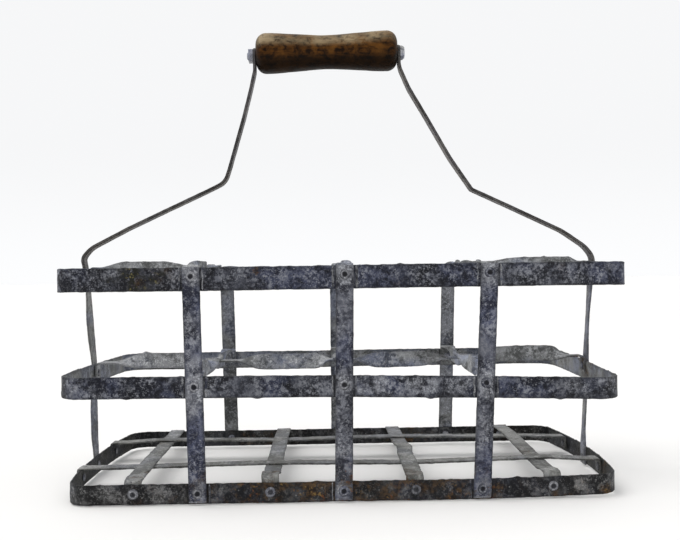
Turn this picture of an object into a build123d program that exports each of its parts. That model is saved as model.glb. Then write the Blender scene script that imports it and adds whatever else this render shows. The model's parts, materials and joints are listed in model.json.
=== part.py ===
from build123d import *
import math
import os

# Eight-bottle milk carrier made of riveted galvanised strip steel.
# Millimetres. X runs along the length, Y across the two rows of bottles, Z is up.
# The origin is on the ground, under the middle of the crate.

# ---------------------------------------------------------------- driving sizes
STRIP_W = 12.3          # width of every flat strip
STRIP_T = 1.3           # thickness of straps, dividers and base strips
HOOP_T = 1.4            # thickness of the three hoops
CORNER_R = 14.0         # outside corner radius of the hoops

# each hoop: bottom edge z, top edge z, corner half length, end bow, half depth
TOP = dict(z0=147.5, z1=163.9, hx=199.0, bow=3.6, hy=100.0)
MID = dict(z0=72.8, z1=88.0, hx=195.0, bow=3.7, hy=99.0)
BOT = dict(z0=0.0, z1=14.0, hx=190.0, bow=8.0, hy=97.5)

RIVET_Z = dict(top=157.5, mid=81.2, bot=7.7)   # rivet heights on the three hoops

# centre lines of the three upright straps on each long side, at the ground and at the rim
STRAP_X = {
    -1: {"left": (-101.9, -104.7), "centre": (-1.2, 1.7), "right": (94.7, 102.2)},      # front
    1: {"left": (-100.5, -104.0), "centre": (-2.4, -1.6), "right": (97.0, 103.0)},      # back
}
STRAPS = ("left", "centre", "right")
RIM_Z = 163.9
STRAP_TOP_Z = 163.6
STRAP_FOOT_Z = 1.6      # cut end of every strap, just above the ground

# rivets
RIVET_R = 1.6
RIVET_HOLE_R = 1.65
RIVET_HEAD_R = 3.3
RIVET_HEAD_H = 0.9
RIVET_TAIL_R = 2.9
RIVET_TAIL_H = 0.8
RIVET_DIMPLE_R = 1.5
RIVET_DIMPLE_D = 0.45

# divider levels: contact plane between the long strip (below) and the cross strips (above)
DIV_TOP_Z = 165.3
DIV_MID_Z = 89.8
TAB_LEN = 12.5          # folded tab at each divider end
FLAT_HALF = 8.0         # flat length each side of a crossing
TWIST = 24.0            # length over which a strip turns from flat to on edge

# woven base
BASE_Z = 15.55          # contact plane of the weave
BASE_CROSS_X = (-148.6, -52.1, 48.5, 146.0)
BASE_LONG_Y = {"front": -44.0, "rear": 47.0}
BASE_HUMP_Z = (16.4, 19.2, 16.2, 16.6)  # height of each cross strip just behind the front hoop
BASE_RIVET_Z = 7.6

# bail and grip
PIVOT_Z = 157.5
PIVOT_R = 2.4
PIVOT_BORE_R = 2.46
ARM_W = 11.0
ARM_T = 2.3
ARM_GAP = 0.3
GRIP_TILT = 0.8         # degrees, right end higher
GRIP_LEN = 114.2
GRIP_MID = (-8.4, 336.9)      # x, z of the bolt axis at mid grip
GRIP_OFF = 1.8          # the bore runs this far below the middle of the turned grip
GRIP_END_R = 16.1
GRIP_WAIST_R = 13.4
BOLT_R = 3.0
BOLT_HOLE_R = 3.05
GRIP_BORE_R = 3.08
NUT_AF = 9.6
NUT_H = 3.6
HEAD_AF = 10.4
HEAD_H = 3.4

os.makedirs("parts", exist_ok=True)


# ---------------------------------------------------------------- helpers
def band_face(pts, radii, t):
    """Closed outline of a bent strip seen from its edge. pts is the middle line, radii the
    bend radius of the middle line at each inner point."""
    n = len(pts)
    h = t / 2
    dirs, lens = [], []
    for i in range(n - 1):
        dx, dy = pts[i + 1][0] - pts[i][0], pts[i + 1][1] - pts[i][1]
        s = math.hypot(dx, dy)
        dirs.append((dx / s, dy / s))
        lens.append(s)
    left, right = [], []

    def shift(p, d, k):
        return (p[0] - d[1] * k, p[1] + d[0] * k)

    lp, rp = shift(pts[0], dirs[0], h), shift(pts[0], dirs[0], -h)
    start = (lp, rp)
    for i in range(1, n - 1):
        a, b, p = dirs[i - 1], dirs[i], pts[i]
        cross, dot = a[0] * b[1] - a[1] * b[0], a[0] * b[0] + a[1] * b[1]
        ang = math.atan2(cross, dot)
        if abs(ang) < 1e-6:
            continue
        tan = math.tan(abs(ang) / 2)
        r = min(radii[i - 1], 0.48 * min(lens[i - 1], lens[i]) / tan)
        sg = 1 if ang > 0 else -1
        tl = r * tan
        p0 = (p[0] - a[0] * tl, p[1] - a[1] * tl)
        p1 = (p[0] + b[0] * tl, p[1] + b[1] * tl)
        c = shift(p0, a, sg * r)
        mx, my = p[0] - c[0], p[1] - c[1]
        ml = math.hypot(mx, my)
        for out, k, is_left in ((left, h, True), (right, -h, False)):
            rr = r - sg * k
            cur = lp if is_left else rp
            q0, q1 = shift(p0, a, k), shift(p1, b, k)
            if rr < 0.02:
                # sharp inside corner, where the two offset lines meet
                corner = (c[0], c[1]) if abs(rr) < 0.02 else None
                if corner is None:
                    kk = k / math.cos(ang / 2)
                    hx, hy = a[0] + b[0], a[1] + b[1]
                    hl = math.hypot(hx, hy)
                    corner = (p[0] - hy / hl * kk, p[1] + hx / hl * kk)
                out.append(Line(cur, corner))
                nxt = corner
            else:
                out.append(Line(cur, q0))
                mid = (c[0] + mx / ml * rr, c[1] + my / ml * rr)
                out.append(ThreePointArc(q0, mid, q1))
                nxt = q1
            if is_left:
                lp = nxt
            else:
                rp = nxt
    le, re = shift(pts[-1], dirs[-1], h), shift(pts[-1], dirs[-1], -h)
    left.append(Line(lp, le))
    right.append(Line(rp, re))
    edges = ShapeList()
    for e in left + right + [Line(start[0], start[1]), Line(le, re)]:
        edges += e.edges()
    return make_face(edges)


def band_xz(pts, radii, t, w, y=0.0):
    """Strip bent in the XZ plane, its width along Y."""
    f = band_face(pts, radii, t)
    return Pos(0, y, 0) * extrude(Plane.XZ * f, amount=w / 2, both=True)


def band_yz(pts, radii, t, w, x=0.0):
    """Strip bent in the YZ plane, its width along X."""
    f = band_face(pts, radii, t)
    return Pos(x, 0, 0) * extrude(Plane.YZ * f, amount=w / 2, both=True)


def bore_x(y, z, r, x0, x1):
    return Pos((x0 + x1) / 2, y, z) * Rot(0, 90, 0) * Cylinder(r, abs(x1 - x0))


def bore_y(x, z, r, y0, y1):
    return Pos(x, (y0 + y1) / 2, z) * Rot(90, 0, 0) * Cylinder(r, abs(y1 - y0))


def bore_z(x, y, r, z0, z1):
    return Pos(x, y, (z0 + z1) / 2) * Cylinder(r, abs(z1 - z0))


def rivet(point, outward, grip):
    """Domed rivet with a punched dimple. point is on the outer face under the head,
    outward points from the joint to the head, grip is the thickness clamped."""
    h, r = RIVET_HEAD_H, RIVET_HEAD_R
    prof = make_face(
        Polyline(
            (0, -grip - RIVET_TAIL_H), (RIVET_TAIL_R - 0.5, -grip - RIVET_TAIL_H),
            (RIVET_TAIL_R, -grip - RIVET_TAIL_H + 0.4), (RIVET_TAIL_R, -grip),
            (RIVET_R, -grip), (RIVET_R, 0), (r, 0), (r - 0.15, h * 0.45),
            (r - 0.8, h * 0.9), (RIVET_DIMPLE_R + 0.35, h), (RIVET_DIMPLE_R - 0.3, h - RIVET_DIMPLE_D),
            (0, h - RIVET_DIMPLE_D), (0, -grip - RIVET_TAIL_H),
        )
    )
    body = revolve(Plane.XZ * prof, Axis.Z)
    return Plane(origin=point, z_dir=outward).location * body


def arc_x(h, y):
    """Outer X of a hoop's bowed end at a given y."""
    a, b = h["hy"], h["bow"]
    rad = (a * a + b * b) / (2 * b)
    return h["hx"] + b - rad + math.sqrt(rad * rad - y * y)


def outline(h, inset):
    hx, hy, b = h["hx"] - inset, h["hy"] - inset, h["bow"]
    f = make_face(
        Line((-hx, -hy), (hx, -hy)).edges()
        + ThreePointArc((hx, -hy), (hx + b, 0), (hx, hy)).edges()
        + Line((hx, hy), (-hx, hy)).edges()
        + ThreePointArc((-hx, hy), (-hx - b, 0), (-hx, -hy)).edges()
    )
    return fillet(f.vertices(), CORNER_R - inset)


def hoop(h):
    outer = extrude(outline(h, 0.0), amount=h["z1"] - h["z0"])
    inner = Pos(0, 0, -1) * extrude(outline(h, HOOP_T), amount=h["z1"] - h["z0"] + 2)
    return Pos(0, 0, h["z0"]) * (outer - inner)


def strap_x(name, z, sign):
    """Middle of a strap at height z. sign is -1 for the front, 1 for the back."""
    a, b = STRAP_X[sign][name]
    return a + (b - a) * z / RIM_Z


def divider_x(name, z):
    return (strap_x(name, z, -1) + strap_x(name, z, 1)) / 2


def save(name, shape):
    shape.label = name
    export_step(shape, f"parts/{name}.step")


def one(shape):
    """The single solid of a shape."""
    s = shape.solids()
    if len(s) != 1:
        raise ValueError(f"{len(s)} solids")
    return s[0]


def group(solids):
    return Compound(children=[s for s in solids])


# ---------------------------------------------------------------- hoops
LEVELS = {"top": TOP, "mid": MID, "bot": BOT}
hoops = {k: hoop(h) for k, h in LEVELS.items()}

for k, h in LEVELS.items():
    z = RIVET_Z[k]
    for s in STRAPS:
        for sg in (-1, 1):
            hoops[k] -= bore_y(strap_x(s, z, sg), z, RIVET_HOLE_R, sg * 90, sg * 110)
    r = PIVOT_R + 0.05 if k == "top" else RIVET_HOLE_R
    hoops[k] -= bore_x(0, z, r, -220, 220)
for x in BASE_CROSS_X:
    hoops["bot"] -= bore_y(x, BASE_RIVET_Z, RIVET_HOLE_R, -110, 110)
for y in BASE_LONG_Y.values():
    hoops["bot"] -= bore_x(y, BASE_RIVET_Z, RIVET_HOLE_R, -220, 220)

save("top_hoop", one(hoops["top"]))
save("middle_hoop", one(hoops["mid"]))
save("bottom_hoop", one(hoops["bot"]))

# ---------------------------------------------------------------- upright straps
t = STRIP_T


def side_strap(name, sign):
    """sign -1 is the front (-Y), +1 the back."""
    yt, ym, yb = TOP["hy"] + t / 2, MID["hy"] + t / 2, BOT["hy"] + t / 2
    pts = [
        (sign * yt, STRAP_TOP_Z), (sign * yt, TOP["z0"] - 1.5), (sign * ym, MID["z1"] + 1.5),
        (sign * ym, MID["z0"] - 1.5), (sign * yb, BOT["z1"] + 1.5), (sign * yb, STRAP_FOOT_Z),
    ]
    xb, xt = STRAP_X[sign][name]
    body = band_yz(pts, [20, 20, 20, 20], t, 40.0, x=(xb + xt) / 2)
    w = STRIP_W / 2
    outline_face = make_face(
        Polyline((xb - w, -1), (xb + w, -1), (xt + w, RIM_Z + 1), (xt - w, RIM_Z + 1), (xb - w, -1))
    )
    cutter = extrude(Plane.XZ * outline_face, amount=130, both=True)
    body = body & cutter
    for k, z in RIVET_Z.items():
        body -= bore_y(strap_x(name, z, sign), z, RIVET_HOLE_R, sign * 90, sign * 110)
    return one(body)


for name in STRAPS:
    save(f"front_strap_{name}", side_strap(name, -1))
    save(f"back_strap_{name}", side_strap(name, +1))

END_TOUCH = 0.02


# the right end strap passes inside the bottom hoop, the left one outside it
FOOT_IN_X = BOT["hx"] + BOT["bow"] - HOOP_T - 0.1 - t / 2


def end_strap(sign):
    xt, xm, xb = (h["hx"] + h["bow"] + END_TOUCH + t / 2 for h in (TOP, MID, BOT))
    if sign > 0:
        xb = FOOT_IN_X
    pts = [
        (sign * xt, STRAP_TOP_Z), (sign * xt, TOP["z0"] - 1.5), (sign * xm, MID["z1"] + 1.5),
        (sign * xm, MID["z0"] - 1.5), (sign * xb, BOT["z1"] + 1.5), (sign * xb, STRAP_FOOT_Z),
    ]
    body = band_xz(pts, [20, 20, 20, 20], t, STRIP_W)
    body -= bore_x(0, RIVET_Z["top"], PIVOT_R + 0.05, sign * 190, sign * 220)
    body -= bore_x(0, RIVET_Z["mid"], RIVET_HOLE_R, sign * 190, sign * 220)
    body -= bore_x(0, RIVET_Z["bot"], RIVET_HOLE_R, sign * 190, sign * 220)
    return one(body)


save("end_strap_left", end_strap(-1))
save("end_strap_right", end_strap(+1))


# ---------------------------------------------------------------- twisted dividers
def section(axis, s, across, z, angle):
    """Cross-section of a strip at distance s along its run, turned by angle degrees."""
    c, n = math.cos(math.radians(angle)), math.sin(math.radians(angle))
    if axis == "x":
        pl = Plane(origin=(s, across, z), x_dir=(0, c, n), z_dir=(1, 0, 0))
    else:
        pl = Plane(origin=(across, s, z), x_dir=(c, 0, n), z_dir=(0, 1, 0))
    return pl * Rectangle(STRIP_W, t)


def straight(axis, s0, s1, across, z, upright):
    w, hgt = (t, STRIP_W) if upright else (STRIP_W, t)
    if axis == "x":
        return Pos((s0 + s1) / 2, across, z) * Box(s1 - s0, w, hgt)
    return Pos(across, (s0 + s1) / 2, z) * Box(w, s1 - s0, hgt)


def twist(axis, s0, s1, across, z0, z1, a0, a1):
    """Strip turning from angle a0 to a1 while its middle moves from height z0 to z1."""
    n = 6
    secs = []
    for i in range(n + 1):
        u = i / n
        z = z0 + (z1 - z0) * (1 - math.cos(math.pi * u)) / 2
        secs.append(section(axis, s0 + (s1 - s0) * u, across, z, a0 + (a1 - a0) * u))
    return loft(secs, ruled=False)


def divider(axis, crossings, end, across, z, hand, shape):
    """A strip lying flat at its ends and crossings and turned on edge between them.
    end is the distance from the middle to the outer face of the folded tab. shape holds, for
    each bay, the lengths of its two twists and how far the on-edge run lies above the flats,
    and for the whole strip the flat lengths beside each crossing and the rise of its ends."""
    rise = shape["rise"]
    stops = [-end + 9.0] + [c for c in crossings] + [end - 9.0]
    before = [3.0] + [f[0] for f in shape["flats"]] + [3.0]
    after = [3.0] + [f[1] for f in shape["flats"]] + [3.0]
    level = [z + rise] + [z] * len(crossings) + [z + rise]
    pieces = []
    for i, (ta, tb, lift) in enumerate(shape["bays"]):
        a, b = stops[i] + after[i], stops[i + 1] - before[i + 1]
        q = 90.0 * hand[i]
        pieces.append(twist(axis, a, a + ta, across, level[i], z + lift, 0, q))
        pieces.append(straight(axis, a + ta, b - tb, across, z + lift, True))
        pieces.append(twist(axis, b - tb, b, across, z + lift, level[i + 1], q, 0))
    for c, hb, ha in zip(stops[1:-1], before[1:-1], after[1:-1]):
        pieces.append(straight(axis, c - hb, c + ha, across, z, False))
    for sg in (-1, 1):
        pts = [
            (sg * (end - 12.0), z + rise), (sg * (end - t / 2), z + rise), (sg * (end - t / 2), z - TAB_LEN),
        ]
        if axis == "x":
            pieces.append(band_xz(pts, [2.6], t, STRIP_W, y=across))
        else:
            pieces.append(band_yz(pts, [1.9], t, STRIP_W, x=across))
    body = pieces[0]
    for p in pieces[1:]:
        body = body + p
    return body


# bays: first twist, second twist, lift of the on-edge run; flats: before and after each crossing
LONG_SHAPE = {
    "top": dict(
        bays=[(15, 42, -0.3), (22, 22, -5.6), (22, 22, -5.6), (48, 15, -0.8)],
        flats=[(8, 8), (8, 8), (8, 8)], rise=2.6,
    ),
    "mid": dict(
        bays=[(35, 16, 1.5), (27, 16, -1.2), (27, 33, -1.0), (22, 19, 2.4)],
        flats=[(8, 18), (7.2, 8), (8, 8)], rise=0.0,
    ),
}
CROSS_LIFT = {
    "top": {"left": (-3.0, -5.6), "centre": (-4.5, -5.6), "right": (-5.5, -4.0)},
    "mid": {"left": (-2.3, -5.0), "centre": (-3.5, -5.0), "right": (-3.0, -5.0)},
}
SIDE_IN = {"top": TOP["hy"] - HOOP_T, "mid": MID["hy"] - HOOP_T}
END_IN = {k: LEVELS[k]["hx"] + LEVELS[k]["bow"] - HOOP_T - 0.05 for k in ("top", "mid")}
LEVEL_NAME = {"top": "top", "mid": "middle"}
DIV_Z = {"top": DIV_TOP_Z, "mid": DIV_MID_Z}
HANDS_X = {"top": (1, -1, 1, 1), "mid": (1, 1, -1, 1)}
HANDS_Y = {
    "top": {"left": (1, -1), "centre": (-1, 1), "right": (1, 1)},
    "mid": {"left": (1, -1), "centre": (1, 1), "right": (-1, 1)},
}

for k in ("top", "mid"):
    zr = RIVET_Z[k]
    xs = [divider_x(s, zr) for s in STRAPS]
    zl = DIV_Z[k] - t / 2
    zc = DIV_Z[k] + t / 2
    body = divider("x", xs, END_IN[k], 0.0, zl, HANDS_X[k], LONG_SHAPE[k])
    for x in xs:
        body -= bore_z(x, 0, RIVET_HOLE_R, zl - 3, zl + 3)
    rr = PIVOT_R + 0.05 if k == "top" else RIVET_HOLE_R
    body -= bore_x(0, zr, rr, -220, -185)
    body -= bore_x(0, zr, rr, 185, 220)
    save(f"{LEVEL_NAME[k]}_long_divider", one(body))
    for s, x in zip(STRAPS, xs):
        shape = dict(bays=[(TWIST, TWIST, lift) for lift in CROSS_LIFT[k][s]], flats=[(FLAT_HALF, FLAT_HALF)], rise=0.0)
        body = divider("y", [0.0], SIDE_IN[k], x, zc, HANDS_Y[k][s], shape)
        body -= bore_z(x, 0, RIVET_HOLE_R, zc - 3, zc + 3)
        body -= bore_y(strap_x(s, zr, -1), zr, RIVET_HOLE_R, -110, -90)
        body -= bore_y(strap_x(s, zr, 1), zr, RIVET_HOLE_R, 90, 110)
        save(f"{LEVEL_NAME[k]}_cross_divider_{s}", one(body))


# ---------------------------------------------------------------- woven base
def over(i, j):
    """True where the long strip j passes over cross strip i."""
    return (i + j) % 2 == 1


HI, LO = BASE_Z + t / 2, BASE_Z - t / 2
EDGE = BOT["z1"] + t / 2        # centre of a strip lying on the bottom hoop's top edge
FLATW = 8.5

for i, x in enumerate(BASE_CROSS_X):
    # the front end bends down behind the hoop, so its tab is inside; the rear tab is outside
    hump = BASE_HUMP_Z[i]
    yi = BOT["hy"] - HOOP_T - t / 2
    yo = BOT["hy"] + t / 2
    za = LO if over(i, 0) else HI
    zb = LO if over(i, 1) else HI
    pts = [
        (-yi, 3.2), (-yi, hump), (-yi + 9.0, hump), (-yi + 22.0, za),
        (BASE_LONG_Y["front"] + FLATW, za), (BASE_LONG_Y["rear"] - FLATW, zb),
        (BASE_LONG_Y["rear"] + FLATW, zb), (yo - 9.0, EDGE), (yo, EDGE), (yo, 3.6),
    ]
    radii = [3.0, 6.0, 12.0, 40.0, 40.0, 12.0, 12.0, t / 2]
    body = band_yz(pts, radii, t, STRIP_W, x=x)
    body -= bore_y(x, BASE_RIVET_Z, RIVET_HOLE_R, -110, -85)
    body -= bore_y(x, BASE_RIVET_Z, RIVET_HOLE_R, 85, 110)
    save(f"base_cross_strip_{i + 1}", one(body))

# the right ends of the long strips dip and fold down inside the hoop
DIP_Z = 13.6


def long_in_x(y):
    return arc_x(BOT, abs(y) + STRIP_W / 2) - HOOP_T - 0.12 - t / 2


for j, (name, y) in enumerate(BASE_LONG_Y.items()):
    inner = abs(y) - STRIP_W / 2
    xo = arc_x(BOT, inner) + END_TOUCH + t / 2
    pts = [(-xo, 3.6), (-xo, EDGE), (-xo + 10.0, EDGE)]
    radii = [t / 2, 12.0]
    for i, x in enumerate(BASE_CROSS_X):
        z = HI if over(i, j) else LO
        pts += [(x - FLATW, z), (x + FLATW, z)]
        radii += [25.0, 25.0]
    xi = long_in_x(y)
    pts += [(xi - 10.0, DIP_Z), (xi, DIP_Z), (xi, 3.6)]
    radii += [12.0, 1.9]
    body = band_xz(pts, radii, t, STRIP_W, y=y)
    body -= bore_x(y, BASE_RIVET_Z, RIVET_HOLE_R, -220, -180)
    body -= bore_x(y, BASE_RIVET_Z, RIVET_HOLE_R, 180, 220)
    save(f"base_long_strip_{name}", one(body))

# ---------------------------------------------------------------- rivets
for k, h in LEVELS.items():
    z = RIVET_Z[k]
    grip = t + HOOP_T + (t if k != "bot" else 0.0)
    rivets = []
    for s in STRAPS:
        for sg in (-1, 1):
            rivets.append(rivet((strap_x(s, z, sg), sg * (h["hy"] + t), z), (0, sg, 0), grip))
    nm = {"top": "top", "mid": "middle", "bot": "bottom"}[k]
    save(f"{nm}_hoop_rivets", group(rivets))

rivets = []
for k in ("mid", "bot"):
    h = LEVELS[k]
    face = h["hx"] + h["bow"] + END_TOUCH + t
    grip = t + END_TOUCH + HOOP_T + (t + 0.05 if k == "mid" else 0.03)
    for sg in (-1, 1):
        if k == "bot" and sg > 0:
            out = h["hx"] + h["bow"] + END_TOUCH
            rivets.append(rivet((out, 0, RIVET_Z[k]), (1, 0, 0), out - FOOT_IN_X + t / 2 + 0.03))
        else:
            rivets.append(rivet((sg * face, 0, RIVET_Z[k]), (sg, 0, 0), grip))
save("end_strap_rivets", group(rivets))

for k in ("top", "mid"):
    rivets = []
    for s in STRAPS:
        rivets.append(rivet((divider_x(s, RIVET_Z[k]), 0, DIV_Z[k] + t), (0, 0, 1), 2 * t))
    save(f"{LEVEL_NAME[k]}_divider_rivets", group(rivets))

rivets = []
for x in BASE_CROSS_X:
    rivets.append(rivet((x, -BOT["hy"], BASE_RIVET_Z), (0, -1, 0), HOOP_T + t))
    rivets.append(rivet((x, BOT["hy"] + t, BASE_RIVET_Z), (0, 1, 0), HOOP_T + t))
for y in BASE_LONG_Y.values():
    inner = abs(y) - STRIP_W / 2
    xo = arc_x(BOT, inner) + END_TOUCH + t
    # the tail sits on the curved inner face of the hoop
    xin = arc_x(BOT, abs(y) + RIVET_TAIL_R) - HOOP_T - 0.02
    rivets.append(rivet((-xo, y, BASE_RIVET_Z), (-1, 0, 0), xo - xin + 0.25))
    head = arc_x(BOT, abs(y) - RIVET_HEAD_R) + 0.02
    rivets.append(rivet((head, y, BASE_RIVET_Z), (1, 0, 0), head - long_in_x(y) + t / 2 + 0.02))
save("base_strip_rivets", group(rivets))

# ---------------------------------------------------------------- bail
STRAP_OUT = TOP["hx"] + TOP["bow"] + END_TOUCH + t      # outer face of the end straps
ARM_X = STRAP_OUT + ARM_GAP + ARM_T / 2                 # centre of the arm's thickness at the pivot
HEAD_FACE = ARM_X + ARM_T / 2 + 0.25

ca, sa = math.cos(math.radians(GRIP_TILT)), math.sin(math.radians(GRIP_TILT))


def grip_point(u, v=0.0):
    """Point in XZ at u along the bolt axis and v above it."""
    return (GRIP_MID[0] + u * ca - v * sa, GRIP_MID[1] + u * sa + v * ca)


half = GRIP_LEN / 2 + 0.3 + ARM_T / 2
left_pts = [
    (-ARM_X, PIVOT_Z - 6.0), (-ARM_X, 166.6), (-207.0, 173.6), (-200.6, 181.4), (-170.2, 197.0),
    (-132.9, 214.3), (-106.9, 226.2), (-91.8, 233.6), (-88.1, 244.6), (-76.2, 285.1), (-69.9, 309.5),
    grip_point(-half, -12.5), grip_point(-half, 6.0),
]
left_r = [14.0, 9.0, 30.0, 60.0, 60.0, 7.5, 18.0, 60.0, 60.0, 30.0, 20.0]
right_pts = [
    (ARM_X, PIVOT_Z - 6.0), (ARM_X, 169.6), (199.2, 177.8), (180.7, 190.7), (159.6, 200.8),
    (138.5, 210.9), (107.6, 225.4), (90.1, 251.4), (73.4, 281.3), (57.8, 308.1),
    grip_point(half, -12.0), grip_point(half, 6.0),
]
right_r = [12.0, 24.0, 50.0, 90.0, 90.0, 4.0, 90.0, 90.0, 60.0, 20.0]


def arm(pts, radii, sign):
    body = band_xz(pts, radii, ARM_T, ARM_W)
    # rounded eyes at both ends
    r = ARM_W / 2
    low = Box(12, ARM_W + 2, 2 * r) - Pos(0, 0, r) * Rot(0, 90, 0) * Cylinder(r, 14)
    body -= Pos(pts[0][0], 0, pts[0][1]) * low
    high = Box(12, ARM_W + 2, 2 * r) - Pos(0, 0, -r) * Rot(0, 90, 0) * Cylinder(r, 14)
    body -= Pos(pts[-1][0], 0, pts[-1][1]) * Rot(0, -GRIP_TILT, 0) * high
    body -= bore_x(0, PIVOT_Z, PIVOT_BORE_R, sign * 190, sign * 220)
    mx, mz = grip_point(sign * half)
    body -= Pos(mx, 0, mz) * Rot(0, 90 - GRIP_TILT, 0) * Cylinder(BOLT_HOLE_R, 10)
    return one(body)


save("bail_arm_left", arm(left_pts, left_r, -1))
save("bail_arm_right", arm(right_pts, right_r, +1))


def pivot_rivet(sign):
    inner = TOP["hx"] + TOP["bow"] - HOOP_T - 0.05 - t
    a = HEAD_FACE - inner
    prof = make_face(
        Polyline(
            (0, -a - 1.2), (3.2, -a - 1.2), (4.0, -a - 0.5), (4.0, -a), (PIVOT_R, -a), (PIVOT_R, 0),
            (4.6, 0), (4.4, 0.7), (3.4, 1.2), (1.6, 1.4), (0, 1.4), (0, -a - 1.2),
        )
    )
    body = revolve(Plane.XZ * prof, Axis.Z)
    return Plane(origin=(sign * HEAD_FACE, 0, PIVOT_Z), z_dir=(sign, 0, 0)).location * body


save("bail_pivot_rivets", group([pivot_rivet(-1), pivot_rivet(1)]))

# bolt, nut and grip are made along Z and laid on the tilted bolt axis
to_axis = Pos(GRIP_MID[0], 0, GRIP_MID[1]) * Rot(0, 90 - GRIP_TILT, 0)
arm_out = half + ARM_T / 2

bolt = Pos(0, 0, (arm_out + 0.0 - arm_out - NUT_H - 1.2) / 2) * Cylinder(BOLT_R, 2 * arm_out + NUT_H + 1.2)
bolt = chamfer(bolt.edges().sort_by(Axis.Z)[0], 0.6)
head = Pos(0, 0, arm_out + HEAD_H / 2) * extrude(RegularPolygon(HEAD_AF / 2, 6, major_radius=False), amount=HEAD_H / 2, both=True)
head = head & (Pos(0, 0, arm_out + HEAD_H - 3.2) * Cone(HEAD_AF / 2 + 4.0, HEAD_AF / 2 - 0.6, 6.4))
bolt = bolt + head
save("handle_bolt", one(to_axis * bolt))

nut = Pos(0, 0, -arm_out - NUT_H / 2) * extrude(Rectangle(NUT_AF, NUT_AF), amount=NUT_H / 2, both=True)
nut = fillet(nut.edges().filter_by(Axis.Z), 0.8)
nut = nut - Pos(0, 0, -arm_out - NUT_H / 2) * Cylinder(BOLT_R, NUT_H + 2)
save("handle_nut", one(to_axis * nut))

# turned grip: full ends with rounded shoulders and a gentle waist
hl = GRIP_LEN / 2
outer_line = Spline(
    (GRIP_END_R, -hl + 9.0), (GRIP_END_R - 0.9, -hl + 26.0), (GRIP_WAIST_R, 0.0),
    (GRIP_END_R - 0.9, hl - 26.0), (GRIP_END_R, hl - 9.0),
    tangents=[(0, 1), (0, 1)],
)
prof = make_face(
    outer_line.edges()
    + RadiusArc((GRIP_END_R, hl - 9.0), (GRIP_END_R - 7.0, hl), -8.3).edges()
    + Line((GRIP_END_R - 7.0, hl), (0, hl)).edges()
    + Line((0, hl), (0, -hl)).edges()
    + Line((0, -hl), (GRIP_END_R - 7.0, -hl)).edges()
    + RadiusArc((GRIP_END_R - 7.0, -hl), (GRIP_END_R, -hl + 9.0), -8.3).edges()
)
grip = revolve(Plane.XZ * prof, Axis.Z)
# local -X becomes world +Z once the grip is laid along the bolt
grip = Pos(-GRIP_OFF, 0, 0) * grip
grip = grip - Cylinder(GRIP_BORE_R, GRIP_LEN + 4)
save("grip", one(to_axis * grip))

print("bail pivot", (0, 0, PIVOT_Z), "arm x", ARM_X, "head face", HEAD_FACE)
print("grip axis", (ca, 0, sa), "through", (GRIP_MID[0], 0, GRIP_MID[1]))
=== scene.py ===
import json
import math

import bpy
import numpy as np
from mathutils import Matrix, Vector

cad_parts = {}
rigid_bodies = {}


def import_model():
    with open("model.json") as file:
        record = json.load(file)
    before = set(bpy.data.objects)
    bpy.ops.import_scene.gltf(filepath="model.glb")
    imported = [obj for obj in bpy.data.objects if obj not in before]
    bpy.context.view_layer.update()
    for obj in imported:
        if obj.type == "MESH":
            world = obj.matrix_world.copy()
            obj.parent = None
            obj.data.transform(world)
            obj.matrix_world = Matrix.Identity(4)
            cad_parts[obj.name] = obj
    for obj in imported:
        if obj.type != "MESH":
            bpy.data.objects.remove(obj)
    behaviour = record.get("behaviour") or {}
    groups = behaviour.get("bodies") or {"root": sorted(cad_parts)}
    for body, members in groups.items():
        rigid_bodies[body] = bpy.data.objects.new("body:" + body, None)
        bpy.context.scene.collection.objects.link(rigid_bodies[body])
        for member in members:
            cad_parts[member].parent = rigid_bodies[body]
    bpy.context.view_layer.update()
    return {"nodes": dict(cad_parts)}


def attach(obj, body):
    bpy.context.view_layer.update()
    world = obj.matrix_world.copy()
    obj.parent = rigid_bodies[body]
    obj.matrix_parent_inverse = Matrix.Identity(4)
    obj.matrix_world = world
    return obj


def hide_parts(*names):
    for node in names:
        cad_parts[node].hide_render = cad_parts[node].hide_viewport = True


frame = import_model()

# Sizes are in millimetres up to build(), which makes the meshes in metres.
MM = 0.001

# ------------------------------------------------------------------ sizes of the crate
STRIP_W, STRIP_T, HOOP_T, CORNER_R = 12.3, 1.3, 1.4, 14.0
TOP = dict(z0=147.5, z1=163.9, hx=199.0, bow=3.6, hy=100.0)
MID = dict(z0=72.8, z1=88.0, hx=195.0, bow=3.7, hy=99.0)
BOT = dict(z0=0.0, z1=14.0, hx=190.0, bow=8.0, hy=97.5)
LEVELS = {"top": TOP, "mid": MID, "bot": BOT}
LEVEL_NAME = {"top": "top", "mid": "middle", "bot": "bottom"}
RIVET_Z = dict(top=157.5, mid=81.2, bot=7.7)
STRAP_X = {
    -1: {"left": (-101.9, -104.7), "centre": (-1.2, 1.7), "right": (94.7, 102.2)},
    1: {"left": (-100.5, -104.0), "centre": (-2.4, -1.6), "right": (97.0, 103.0)},
}
STRAPS = ("left", "centre", "right")
RIM_Z, STRAP_TOP_Z, STRAP_FOOT_Z = 163.9, 163.6, 1.6
DIV_Z = {"top": 165.3, "mid": 89.8}
TAB_LEN, FLAT_HALF, TWIST = 12.5, 8.0, 24.0
HANDS_X = {"top": (1, -1, 1, 1), "mid": (1, 1, -1, 1)}
HANDS_Y = {
    "top": {"left": (1, -1), "centre": (-1, 1), "right": (1, 1)},
    "mid": {"left": (1, -1), "centre": (1, 1), "right": (-1, 1)},
}
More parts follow.
